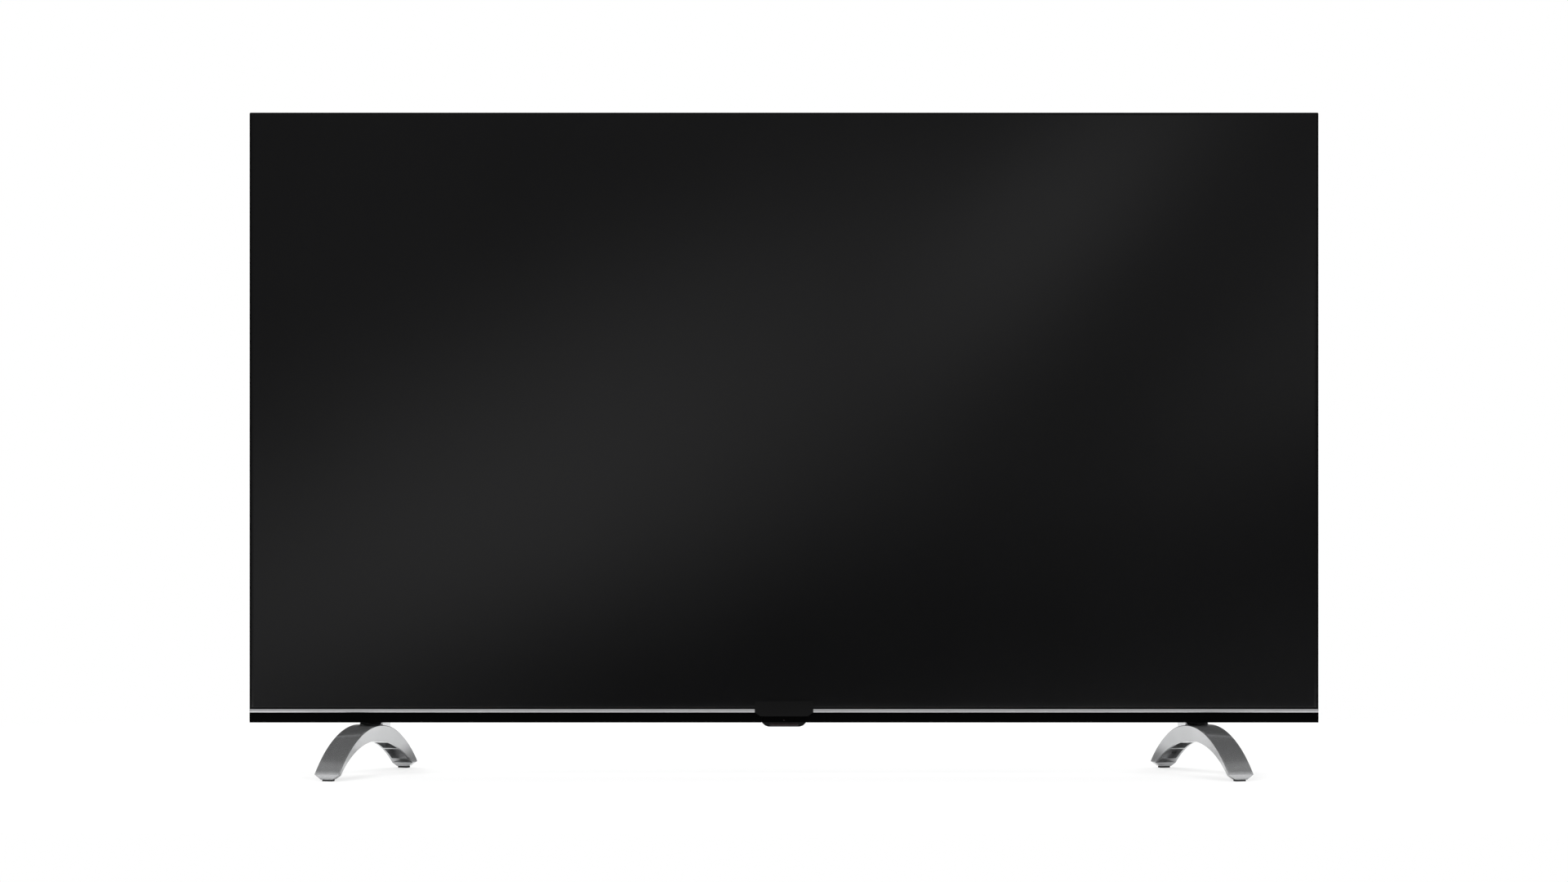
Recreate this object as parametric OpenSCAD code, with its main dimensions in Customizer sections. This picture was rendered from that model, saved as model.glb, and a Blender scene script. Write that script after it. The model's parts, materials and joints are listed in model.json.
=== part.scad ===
// Flat-screen television on two arched feet: a 55-inch class liquid-crystal set with a
// direct-lit backlight, a stepped rear cover, side-facing sockets and a rear control stick.
// Millimetres. X runs to the viewer's right, Y away from the viewer and Z up from the floor.
// The origin is on the floor, midway between the two feet and midway along them.

/* [Screen] */
// Width of the lit picture area
active_w = 1209.6; // [1000:0.1:1500]
// Height of the lit picture area
active_h = 680.4; // [560:0.1:850]
// Dark border from the picture to the cabinet's side
side_border = 11.2; // [8:0.1:16]
// Dark border from the picture to the cabinet's top
top_border = 3.5; // [3:0.1:9]
// Dark border from the picture down to the bottom bar
lower_border = 3.5; // [3:0.1:9]
// Step from the front rim back to the glass
glass_recess = 0.6; // [0.3:0.1:1.5]
// Thickness of the liquid-crystal cell with its polarisers
panel_t = 1.4; // [1:0.1:2.5]
// Thickness of the foam tape behind the cell
tape_t = 0.5; // [0.3:0.1:1]
// Thickness of one optical film
film_t = 0.3; // [0.2:0.05:0.6]
// Thickness of the diffuser plate
diffuser_t = 2; // [1.5:0.1:3]

/* [Mid frame] */
// Thickness of the frame's outer wall
edge_wall = 1.6; // [1.2:0.1:2.2]
// Thickness of the shelf that carries the cell
shelf_t = 1.5; // [1:0.1:2.5]
// Gap from the picture to the shelf's inner edge
shelf_margin = 0.5; // [0.2:0.1:1]
// Radius of the cabinet's corners seen from the front
corner_r = 1.5; // [0.5:0.1:4]
// Clearance round pieces that drop into the frame
fit_gap = 0.3; // [0.2:0.05:0.6]

/* [Backlight] */
// Depth of the steel tray from its lip to its back
tray_d = 18.2; // [15:0.1:25]
// Thickness of the tray's steel
steel_t = 0.8; // [0.6:0.1:1.2]
// Width of the lip that carries the diffuser plate
tray_lip = 9; // [6:0.5:14]
// Height of the beads pressed into the tray's back
bead_h = 1.6; // [1:0.1:3]
// Width of those beads
bead_w = 14; // [8:1:24]
// Distance of the beads from the cabinet's edges
bead_inset = 46; // [36:1:70]
// Width of one strip of lamps
strip_w = 14; // [10:0.5:20]
// Thickness of a lamp strip's board
strip_t = 1; // [0.8:0.1:1.6]
// Distance between lamps along a strip
lamp_pitch = 120; // [80:1:160]
// Distance between lamp strips
strip_pitch = 112; // [90:1:140]
// Radius of a lamp's lens
lens_r = 7.5; // [5:0.1:9]
// Height of a lamp's lens
lens_h = 4.6; // [3:0.1:6]
// Thickness of the white reflector sheet
reflector_t = 0.4; // [0.2:0.1:0.8]
// How far the reflector's sloped border runs inwards
reflector_run = 26; // [16:1:40]

/* [Bottom bar] */
// Height of the bar under the picture
bar_h = 15.6; // [14:0.1:20]
// How far the bar stands in front of the frame's rim
bar_proud = 1.2; // [0.6:0.1:2.5]
// Thickness of the bar's front wall
bar_front_t = 2.4; // [2:0.1:3.5]
// Thickness of the bar's floor
bar_floor_t = 1.8; // [1.2:0.1:3]
// Height of the bevel along the bar's lower edge
bar_bevel_h = 3; // [1:0.1:5]
// Depth of that bevel
bar_bevel_in = 0.8; // [0.3:0.1:1]
// Height of the silver trim strip along the bar's top
trim_h = 4; // [3:0.1:6]
// Depth of the step that holds the trim strip
trim_groove = 1; // [0.6:0.1:1.4]
// How far the trim's crown stands out of the bar
trim_crown = 0.5; // [0.2:0.1:1]

/* [Sensor housing] */
// Half the width of the plate between the two trim strips
plate_half_w = 33.6; // [28:0.1:45]
// Height of the plate's top above the cabinet's underside
plate_top = 25; // [18:0.5:32]
// Height of the plate's lower edge above the cabinet's underside
plate_foot = 6; // [4:0.5:9]
// Thickness of the plate
plate_t = 1; // [0.8:0.1:1.6]
// Half the width of the housing behind the plate
chin_half_w = 25.4; // [22:0.1:27]
// How far the housing hangs below the cabinet
chin_drop = 4.7; // [3:0.1:8]
// Depth of the housing
chin_d = 10.4; // [9:0.1:15]
// Wall of the housing
chin_wall = 1.4; // [1:0.1:2]
// Height of the infrared window
window_h = 3.2; // [2:0.1:4]
// Radius of the standby light's pipe
pipe_r = 1; // [0.6:0.1:1.4]

/* [Feet] */
// Height of the cabinet's underside above the floor
floor_gap = 61; // [56:0.5:90]
// Distance from the cabinet's side to the middle of a foot
foot_inset = 133.5; // [112:0.5:142]
// Length of a foot from toe to toe
foot_span = 243; // [220:1:270]
// Turn of a foot, front toe outwards
foot_splay = 17; // [0:1:25]
// Width of a foot across its upper face
foot_top_w = 30.5; // [28:0.5:40]
// Width of a foot across its lower face, at the top of the arch
foot_under_w = 20; // [18:0.5:26]
// Thickness of the arch at its top
foot_t = 18.6; // [15:0.1:21]
// Radius of the arch's underside
under_r = 205; // [190:1:240]
// Height of the arch's upper face at its toes
toe_h = 7.6; // [6:0.1:12]
// Length of the solid block in a toe
toe_l = 11; // [11:0.5:18]
// Radius of a toe's rounded nose
toe_round = 18; // [14:0.5:20]
// Width of a toe's flat underside
toe_flat = 14; // [10:0.5:18]
// Height of the slopes beside a toe's flat underside
toe_slope_h = 5.5; // [4:0.5:9]
// Gap between the arch's top and the cabinet
neck_gap = 3.8; // [3:0.1:12]
// Width of the neck that enters the cabinet
neck_w = 29; // [24:0.5:30]
// Length of the neck that enters the cabinet
neck_l = 25; // [22:0.5:26]
// How far the neck stands behind the middle of the arch
neck_back = 25; // [10:1:30]
// Radius of the curve where the neck rises from the arch
neck_blend = 4; // [2:0.5:5]
// How far the neck reaches into the cabinet
neck_in = 12; // [8:0.5:18]
// Wall of the hollow arch
foot_wall = 2.6; // [2:0.1:3.5]
// Thickness of the rubber pad under a toe
pad_t = 2; // [1.5:0.1:3]
// Length of a rubber pad
pad_l = 9; // [6:0.5:9]
// Radius of a foot screw's shank
foot_screw_r = 2; // [1.5:0.1:2.5]
// Distance between a foot's two screws
foot_screw_gap = 14; // [11:0.5:16]

/* [Rear cover] */
// Wall of the rear cover
cover_wall = 2.2; // [1.8:0.1:3]
// Depth of the low skirt behind the steel back
skirt_depth = 41.2; // [40:0.2:49]
// Height at which the skirt meets the steel back
skirt_h = 130; // [122:1:134]
// Height of the skirt's upright rear face
skirt_face_h = 96; // [92:1:104]
// Bevel along the skirt's lower rear edge
skirt_bevel = 5; // [3:0.5:6]
// Distance from the cabinet's side to the skirt's side
skirt_inset = 8; // [4:0.5:14]
// How far the skirt's sides lean in towards the rear
skirt_lean = 23; // [12:1:28]
// Depth of the central hump behind the steel back
hump_depth = 51.2; // [50:0.2:60]
// Width of the hump
hump_w = 660; // [640:1:700]
// Height at which the hump meets the steel back
hump_h = 452; // [446:1:480]
// Height of the hump's upright rear face
hump_face_h = 420; // [416:1:430]
// Height at which the hump's rear face starts
hump_low = 26; // [20:1:36]
// Bevel along the hump's upright edges
hump_bevel = 12; // [6:1:16]
// Gap between the cover's underside and the cabinet's underside
cover_lift = 1; // [0.5:0.1:2]
// Width of a vent slot
vent_w = 4; // [2.5:0.1:5]
// Height of a vent slot
vent_h = 40; // [30:1:44]
// Distance between vent slots
vent_pitch = 12; // [8:0.5:16]
// Height of the lower row of vents
vent_low_z = 98; // [94:1:104]
// Height of the upper row of vents
vent_high_z = 325; // [315:1:335]
// Radius of a cover screw's head
cover_screw_head_r = 4; // [3:0.1:5]
// Radius of a cover screw's shank
cover_screw_r = 2; // [1.5:0.1:2.5]
// Plastic left under a cover screw's head
cover_screw_seat = 6; // [4:0.5:10]

/* [Wall mount] */
// Distance between the wall-mount holes
vesa = 200; // [190:1:220]
// Height of the pattern's middle above the cabinet's underside
vesa_z = 290; // [282:1:300]
// Radius of the wall-mount thread
vesa_r = 3; // [2:0.1:4]
// Radius of a wall-mount boss
vesa_boss_r = 7; // [6:0.1:9]
// Depth of the wall-mount thread
vesa_depth = 22; // [12:1:30]

/* [Boards] */
// Gap between the steel back and a circuit board
board_gap = 6.2; // [4:0.1:7]
// Thickness of a circuit board
board_t = 1.6; // [1:0.1:2]
// Gap between a wall-mount boss and a circuit board
boss_gap = 11; // [9:0.5:14]
// Height of the boards' lower edge above the cabinet's underside
board_z = 136; // [133:1:146]
// Main board left above the last socket's middle
board_end = 11; // [10:0.5:14]
// Height of the power board
power_board_h = 196; // [186:1:230]
// Width of a transformer
transformer_w = 38; // [30:1:40]
// Height of a transformer off the board
transformer_h = 27; // [20:1:30]
// Width of the flat cable to the screen
ribbon_w = 30; // [20:1:40]
// Distance from the main board's inner edge to that cable
ribbon_x = 40; // [20:1:60]
// Radius of the cable to the lamps
harness_r = 2; // [1.5:0.1:2.5]
// Radius of a board screw's shank
board_screw_r = 1.5; // [1.2:0.1:2]
// Radius of a standoff
standoff_r = 3.2; // [2.8:0.1:4]

/* [Sockets] */
// Thickness of the plate round the sockets
terminal_t = 1.2; // [0.8:0.1:2]
// Height of the first socket's middle above the board's lower edge
first_socket = 16; // [14:0.5:20]
// Distance between neighbouring small sockets
socket_pitch = 22; // [20:0.1:24]
// Width of a video socket
hdmi_w = 15.2; // [14.6:0.1:16]
// Height of a video socket
hdmi_h = 6; // [5.8:0.1:7]
// Width of a data socket
usb_w = 14.2; // [13.8:0.1:15]
// Height of a data socket
usb_h = 7; // [6.8:0.1:8]
// Width of the network socket
lan_w = 16; // [15.6:0.1:17]
// Height of the network socket
lan_h = 13.6; // [13:0.1:14]
// Width of the card slot's mouth
card_w = 54.6; // [54.2:0.1:55.4]
// Height of the card slot's mouth
card_h = 5.4; // [5.2:0.1:6]
// Radius of the headphone socket's bore
jack_r = 1.8; // [1.76:0.01:1.85]
// Radius of the satellite socket's threaded barrel
sat_r = 4.76; // [4.6:0.01:4.9]
// Radius of the aerial socket's bore
aerial_r = 4.75; // [4.6:0.01:4.9]

/* [Speakers] */
// Gap between a speaker's box and the foot's bracket
speaker_gap = 3.2; // [2:0.2:40]
// Length of a speaker box
speaker_l = 120; // [90:1:126]
// Height of a speaker box
speaker_h = 66; // [44:1:74]
// Wall of a speaker box
speaker_wall = 1.8; // [1.4:0.1:2.4]
// Radius of a speaker's flange
driver_r = 15; // [14.4:0.1:15.4]
// Travel of a speaker's cone each way
cone_stroke = 1.5; // [0.8:0.1:2]

/* [Control stick] */
// Distance from the cabinet's side to the control stick
stick_inset = 86; // [80:1:92]
// Height of the control stick above the cabinet's underside
stick_z = 66; // [54:1:72]
// Radius of the dish round the stick
dish_r = 15; // [13:0.5:18]
// Depth of the dish
dish_d = 3; // [2:0.1:4]
// Radius of the hole that the stick passes through
stick_hole_r = 8; // [7.4:0.1:8.4]
// Radius of the stick's knob
knob_r = 5.5; // [4.5:0.1:6]
// Radius of the sliding ring that carries the gimbal
plunger_r = 9; // [8.8:0.1:9.6]
// How far the stick can be pressed
press_travel = 0.8; // [0.4:0.1:1]
// Radial clearance of a running fit
run_gap = 0.05; // [0.02:0.01:0.1]

/* [Hidden] */
$fn = 48;
LEFT = -1;
RIGHT = 1;
SIDES = [LEFT, RIGHT];
// Overshoot of a cutting shape past the face that it cuts
cut = 1;
// Longer than any piece, for prisms that are cut to length by another
far = 2000;

// Depths counted back from the front rim
panel_q = glass_recess;
tape_q = panel_q + panel_t;
shelf_q = tape_q + tape_t;
films_q = shelf_q + shelf_t;
diffuser_q = films_q + 2 * film_t;
tray_q = diffuser_q + diffuser_t;
back_q = tray_q + tray_d;
floor_q = back_q - steel_t;
reflector_q = floor_q - strip_t;
bar_front_q = bar_front_t - bar_proud;

// Outline of the cabinet seen from the front
half_w = active_w / 2 + side_border;
rail_z = floor_gap + bar_h;
picture_z = rail_z + lower_border;
picture_top = picture_z + active_h;
top_z = picture_top + top_border;
inner_w = half_w - edge_wall - fit_gap;
inner_z = rail_z + edge_wall + fit_gap;
inner_top = top_z - edge_wall - fit_gap;

// Rear cover
skirt_d = back_q + skirt_depth;
hump_d = back_q + hump_depth;
skirt_half_w = half_w - skirt_inset;
hump_half_w = hump_w / 2;
cover_floor = cover_lift + cover_wall;

// Boards and sockets
board_q = back_q + board_gap;
board_top = board_q + board_t;
board_x = vesa / 2 + vesa_boss_r + boss_gap;
mouth_x = hump_half_w - cover_wall;
board_edge = mouth_x - terminal_t - fit_gap;
sat_z = board_z + first_socket;
aerial_z = sat_z + socket_pitch;
lan_z = aerial_z + socket_pitch + 1;
hdmi_z = lan_z + socket_pitch + 2;
hdmi_count = 3;
card_case = [card_w + 5.4, card_h + 2.6, 40];
card_z = hdmi_z + (hdmi_count - 1) * socket_pitch + 11 + card_case[0] / 2;
usb_z = card_z + card_case[0] / 2 + 14;
usb_count = 2;
jack_z = usb_z + usb_count * socket_pitch - 3;
main_board_h = jack_z + board_end - board_z;
inlet_z = board_z + 24;
inlet_size = [22, 13, 20];
inlet_pin_gap = 8.6;
inlet_pin_r = 1.2;

// Feet
foot_x = half_w - foot_inset;
half_span = foot_span / 2;
arch_top = floor_gap - neck_gap;
arch_rise = arch_top - toe_h;
arch_r = (half_span * half_span + arch_rise * arch_rise) / (2 * arch_rise);
arch_z = arch_top - arch_r;
under_z = arch_top - foot_t - under_r;
neck_x = foot_x - neck_back * sin(foot_splay);
bracket_half_w = 22;
bracket_h = 26;
foot_screw_grip = 11;
foot_screw_seat = 7;
foot_head = [foot_screw_r + 1.9, 2.6];

// Speakers
speaker_x = neck_x - bracket_half_w - speaker_gap - speaker_l / 2;
speaker_floor = floor_gap + cover_floor;
flange_t = 2;
box_z = speaker_floor + flange_t;
box_q = [back_q + 1.6, skirt_d - skirt_bevel - cover_wall - 1];
speaker_q = (box_q[0] + box_q[1]) / 2;

// Control stick: distances along its axis, counted back from the front rim
stick_x = half_w - stick_inset;
dish_q = skirt_d - dish_d;
switch_top = dish_q - cover_wall;
gimbal_q = switch_top - 8.8;
gimbal_r = [4.3, plunger_r - 2.8];
gimbal_t = 3;
plunger_t = 4;
stem_r = 3.1;
pin_r = 1;
switch_r = plunger_r + 4;
stem_end = 4;
switch_floor = gimbal_q - stem_end - press_travel - 1.2;
switch_base = switch_floor - 2;

// The necks stand in the middle of the skirt's depth, and the middle of the feet is the origin
feet_back = (back_q + skirt_d - cover_wall) / 2 - neck_back * cos(foot_splay);

function at(q) = q - feet_back;
function up(h) = floor_gap + h;
function turn(r, a) = [r * cos(a), r * sin(a)];
// A stretch from a to b on the right side, or its mirror image on the left side
function on_side(side, a, b) = side == RIGHT ? [a, b] : [-b, -a];

// Corners of a rectangle with round corners, centred on the origin
function round_rect(w, h, r, steps = 5) = [
    for (corner = [0:3], i = [0:steps])
        [(corner == 0 || corner == 3 ? 1 : -1) * (w / 2 - r), (corner < 2 ? 1 : -1) * (h / 2 - r)]
            + turn(r, 90 * (corner + i / steps))
];

// A box between two places across, in depth from the front rim, and in height
module block(x, q, z) {
    translate([x[0], at(q[0]), z[0]]) cube([x[1] - x[0], q[1] - q[0], z[1] - z[0]]);
}

// An outline drawn as (x, z), running from one depth to another
module through(q0, q1) {
    translate([0, at(q1), 0]) rotate([90, 0, 0]) linear_extrude(q1 - q0) children();
}

// An outline drawn as (depth from the front rim, height), running across
module across(x0, x1) {
    translate([x0, at(0), 0]) rotate([90, 0, 90]) linear_extrude(x1 - x0) children();
}

// A round bar along the depth, standing on one depth
module peg(x, q0, q1, z, r, r_end = undef) {
    translate([x, at(q0), z]) rotate([-90, 0, 0])
        cylinder(h = q1 - q0, r1 = r, r2 = is_undef(r_end) ? r : r_end);
}

// A round bar across the set
module rod(x0, x1, q, z, r) {
    translate([x0, at(q), z]) rotate([0, 90, 0]) cylinder(h = x1 - x0, r = r);
}

// A bar with round ends, drawn flat
module stadium(length, width) {
    square([length - width, width], center = true);
    for (end = SIDES) translate([end * (length - width) / 2, 0]) circle(d = width);
}

// The rectangle that drops into the mid frame
module frame_fill(grow = 0) {
    translate([-inner_w - grow, inner_z - grow])
        square([2 * (inner_w + grow), inner_top - inner_z + 2 * grow]);
}

// The hole in the mid frame's shelf, a little larger than the picture
module picture_hole() {
    translate([-active_w / 2 - shelf_margin, picture_z - shelf_margin])
        square([active_w + 2 * shelf_margin, active_h + 2 * shelf_margin]);
}

// Screen and backlight

// Source boards stand in the bottom bar, each with a row of flexible driver films
source_l = 430;
source_h = 9;
source_t = 1.2;
source_q = 12;
source_gap = 24;
film_w = 30;
film_count = 5;
driver_film_t = 0.2;
driver_film_q = bar_front_q + 0.4;
driver_film_z = 5;
film_xs = [for (side = SIDES, i = [0:film_count - 1])
    side * (chin_half_w + source_gap + source_l * (i + 0.5) / film_count)];

module mid_frame() {
    color("#101012") difference() {
        union() {
            difference() {
                through(0, back_q) polygon(concat(
                    [[-half_w, rail_z], [half_w, rail_z]],
                    [for (i = [0:6]) [half_w - corner_r, top_z - corner_r] + turn(corner_r, 15 * i)],
                    [for (i = [6:12]) [corner_r - half_w, top_z - corner_r] + turn(corner_r, 15 * i)]
                ));
                through(-cut, back_q + cut) frame_fill(fit_gap);
            }
            through(shelf_q, films_q) difference() {
                frame_fill(fit_gap + edge_wall / 2);
                picture_hole();
            }
        }
        for (x = film_xs)
            block([x - film_w / 2 - fit_gap, x + film_w / 2 + fit_gap],
                [driver_film_q - 0.5, driver_film_q + driver_film_t + 0.5], [rail_z - cut, inner_z]);
    }
}

module lcd_panel() {
    color("#0b0b0c") through(panel_q, tape_q) frame_fill();
}

module panel_tape() {
    color("#1c1c1c") through(tape_q, shelf_q) difference() {
        frame_fill();
        picture_hole();
    }
}

module prism_film() {
    color("#e8eaec") through(films_q, films_q + film_t) frame_fill();
}

module spread_film() {
    color("#eef0f0") through(films_q + film_t, diffuser_q) frame_fill();
}

module diffuser_plate() {
    color("#f4f4f0") through(diffuser_q, tray_q) frame_fill();
}

// Places of the lamps and of the posts between them, as (x, z)
strip_half_l = floor((active_w / 2 - 50) / lamp_pitch) * lamp_pitch;
strip_count = floor((active_h - 60) / strip_pitch);
strip_zs = [for (i = [0:strip_count - 1])
    (picture_z + picture_top) / 2 + (i - (strip_count - 1) / 2) * strip_pitch];
lamp_places = [for (z = strip_zs, x = [-strip_half_l:lamp_pitch:strip_half_l]) [x, z]];
post_places = [for (i = [0:2:strip_count - 2], x = [-1.5:1:1.5])
    [x * 2 * lamp_pitch, strip_zs[i] + strip_pitch / 2]];
post_base_r = 6;
post_tip_r = 1.5;

// The light box that tapers from the tray's lip to its floor, moved forward by a sheet's thickness
module light_box(forward) {
    rim = [tray_q + steel_t - forward, reflector_q - forward];
    wide = [inner_w - steel_t - fit_gap, inner_w - steel_t - reflector_run];
    middle = (inner_z + inner_top) / 2;
    tall = [for (w = wide) w - inner_w + (inner_top - inner_z) / 2];
    intersection() {
        translate([0, at(0), 0]) linear_extrude(far)
            polygon([[-wide[0], rim[0]], [wide[0], rim[0]], [wide[1], rim[1]], [-wide[1], rim[1]]]);
        across(-far / 2, far / 2) polygon([
            [rim[0], middle - tall[0]], [rim[0], middle + tall[0]],
            [rim[1], middle + tall[1]], [rim[1], middle - tall[1]]
        ]);
    }
}

module reflector_sheet() {
    color("white") difference() {
        light_box(0);
        light_box(reflector_t);
        for (p = lamp_places) peg(p[0], reflector_q - cut, reflector_q + cut, p[1], lens_r + 1);
    }
}

module lamp_strips() {
    color("#e9e4d0") for (z = strip_zs)
        block([-strip_half_l - 2 * strip_w, strip_half_l + 2 * strip_w], [reflector_q, floor_q],
            [z - strip_w / 2, z + strip_w / 2]);
}

// A dimpled dome over a lamp, standing forward from its strip
module lens(p) {
    rim_h = lens_h * 0.55;
    translate([p[0], at(reflector_q), p[1]]) rotate([90, 0, 0]) rotate_extrude() polygon([
        [0, 0], [lens_r, 0], [lens_r, rim_h], [lens_r * 0.75, lens_h * 0.9],
        [lens_r * 0.4, lens_h], [0, lens_h * 0.75]
    ]);
}

module lamp_lenses() {
    color("#dfe6ea") for (p = lamp_places) lens(p);
}

module diffuser_posts() {
    color("#f0f0ee") for (p = post_places) {
        peg(p[0], tray_q + fit_gap, reflector_q - reflector_t, p[1], post_tip_r, post_base_r);
    }
}

// Places of the beads pressed into the steel back
bead_span = 2 * (half_w - bead_inset);
bead_pitch = 70;
bead_row_count = floor((top_z - bead_inset - up(hump_h) - 30) / bead_pitch) + 1;
bead_rows = [for (i = [0:bead_row_count - 1]) top_z - bead_inset - i * bead_pitch];
bead_foot = up(skirt_h) + bead_inset;
bead_head = bead_rows[bead_row_count - 1] - bead_inset;
bead_columns = [for (side = SIDES, i = [0:2]) side * (half_w - bead_inset - bead_pitch * i)];
harness_hole = [-20, up(398)];

module back_tray() {
    color("#2a2b2d") difference() {
        union() {
            through(tray_q, back_q) frame_fill();
            for (z = bead_rows)
                through(back_q - steel_t / 2, back_q + bead_h) translate([0, z])
                    stadium(bead_span, bead_w);
            for (x = bead_columns)
                through(back_q - steel_t / 2, back_q + bead_h)
                    translate([x, (bead_foot + bead_head) / 2]) rotate(90)
                        stadium(bead_head - bead_foot, bead_w);
        }
        through(tray_q + steel_t, floor_q) frame_fill(-steel_t);
        through(tray_q - cut, tray_q + steel_t + cut) frame_fill(-tray_lip);
        block([harness_hole[0] - 8, harness_hole[0] + 8], [floor_q - cut, back_q + cut],
            [harness_hole[1] - 6, harness_hole[1] + 6]);
    }
}

module source_boards() {
    color("#1d5c34") for (side = SIDES) {
        inner = chin_half_w + source_gap;
        block(on_side(side, inner, inner + source_l), [source_q, source_q + source_t],
            [up(bar_floor_t), up(bar_floor_t) + source_h]);
    }
}

module driver_films() {
    low = up(driver_film_z);
    color("#b8792c") for (x = film_xs) across(x - film_w / 2, x + film_w / 2) polygon([
        [driver_film_q, inner_z], [driver_film_q, low], [source_q, low],
        [source_q, low + driver_film_t], [driver_film_q + driver_film_t, low + driver_film_t],
        [driver_film_q + driver_film_t, inner_z]
    ]);
}

// Bottom bar and sensor housing

trim_z = bar_h - trim_h;
chin_back_q = chin_d - bar_proud;
chin_top = bar_h - fit_gap;
chin_room_half_w = chin_half_w - chin_wall - 4;
window_z = 0.7 - chin_drop;
window_half_w = chin_half_w - 9;
pipe_z = 2.6;
sensor_board_q = chin_back_q - 2.8;
sensor_board_t = 1.2;

module bottom_bar() {
    section = [
        [-bar_proud, up(bar_bevel_h)], [-bar_proud, rail_z], [bar_front_q, rail_z],
        [bar_front_q, up(bar_floor_t)], [back_q, up(bar_floor_t)], [back_q, floor_gap],
        [bar_bevel_in - bar_proud, floor_gap]
    ];
    end_section = [
        [-bar_proud, up(bar_bevel_h)], [-bar_proud, rail_z], [back_q, rail_z],
        [back_q, floor_gap], [bar_bevel_in - bar_proud, floor_gap]
    ];
    color("#060606") difference() {
        union() {
            across(-half_w, half_w) polygon(section);
            across(-half_w, edge_wall - half_w) polygon(end_section);
            across(half_w - edge_wall, half_w) polygon(end_section);
            for (side = SIDES)
                block(on_side(side, skirt_half_w - 8, half_w), [back_q - edge_wall, back_q],
                    [floor_gap, rail_z]);
        }
        for (side = SIDES)
            block(on_side(side, plate_half_w, half_w + cut), [-bar_proud - cut, trim_groove - bar_proud],
                [up(trim_z), rail_z + cut]);
        block([-chin_half_w - fit_gap, chin_half_w + fit_gap], [-bar_proud - cut, chin_back_q + fit_gap],
            [floor_gap - cut, rail_z + cut]);
    }
}

// A strip with a gently crowned face
module trim(x0, x1) {
    face = [for (i = [0:6]) [
        -bar_proud - trim_crown * sin(180 * i / 6),
        up(trim_z) + trim_h * i / 6
    ]];
    color("#b9bbbe") across(x0, x1) polygon(concat(face, [
        [trim_groove - bar_proud, rail_z], [trim_groove - bar_proud, up(trim_z)]
    ]));
}

module left_trim() {
    trim(-half_w, -plate_half_w);
}

module right_trim() {
    trim(plate_half_w, half_w);
}

module sensor_housing() {
    plate = [
        [plate_half_w, up(plate_top)], [-plate_half_w, up(plate_top)], [-plate_half_w, up(trim_z)],
        [-chin_half_w, up(plate_foot)], [chin_half_w, up(plate_foot)], [plate_half_w, up(trim_z)]
    ];
    right_half = [
        [chin_half_w, up(chin_top)], [chin_half_w, floor_gap],
        [chin_half_w - 3.4, up(-chin_drop * 0.7)], [chin_half_w - 7.4, up(-chin_drop)]
    ];
    left_half = [for (i = [3:-1:0]) [-right_half[i][0], right_half[i][1]]];
    color("#0a0a0b") difference() {
        union() {
            through(-bar_proud - plate_t, -bar_proud) polygon(plate);
            through(-bar_proud, chin_back_q) polygon(concat(right_half, left_half));
        }
        block([-chin_room_half_w, chin_room_half_w], [chin_wall - bar_proud, chin_back_q + cut],
            [up(chin_wall - chin_drop), up(chin_top - chin_wall)]);
        block([-window_half_w, window_half_w], [-bar_proud - cut, chin_wall - bar_proud + 0.01],
            [up(window_z), up(window_z + window_h)]);
        peg(0, -bar_proud - cut, chin_wall - bar_proud + cut, up(pipe_z), pipe_r + run_gap);
    }
}

module infrared_window() {
    color("#24080a") block([run_gap - window_half_w, window_half_w - run_gap],
        [-bar_proud - 0.2, chin_wall - bar_proud],
        [up(window_z) + run_gap, up(window_z + window_h) - run_gap]);
}

module standby_light() {
    color("#d9d9d9") peg(0, -bar_proud - 0.2, sensor_board_q, up(pipe_z), pipe_r);
}

module sensor_board() {
    color("#1d5c34") block([fit_gap - chin_room_half_w, chin_room_half_w - fit_gap],
        [sensor_board_q, sensor_board_q + sensor_board_t],
        [up(chin_wall - chin_drop) + fit_gap, up(chin_top - chin_wall) - fit_gap]);
}

// Rear cover

// Places of the cover's screws, as (x, height above the cabinet's underside)
cover_screw_pairs = [[half_w - 50, 28], [200, 60], [60, 408]];
cover_screw_places = [for (side = SIDES, p = cover_screw_pairs) [side * p[0], p[1]]];
cover_boss_r = cover_screw_head_r + 2;
vesa_places = [for (x = SIDES, z = SIDES) [x * vesa / 2, up(vesa_z) + z * vesa / 2]];
vent_half = floor((hump_half_w - hump_bevel - 30) / vent_pitch) * vent_pitch;
terminal_window_q = [board_top - 1.6, board_top + 15.6];
terminal_window_z = [up(sat_z) - 9.5, up(jack_z) + 8];
terminal_flange = 3;
grille_half = 20;
grille_pitch = 4;
grille_w = 1.8;

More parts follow.
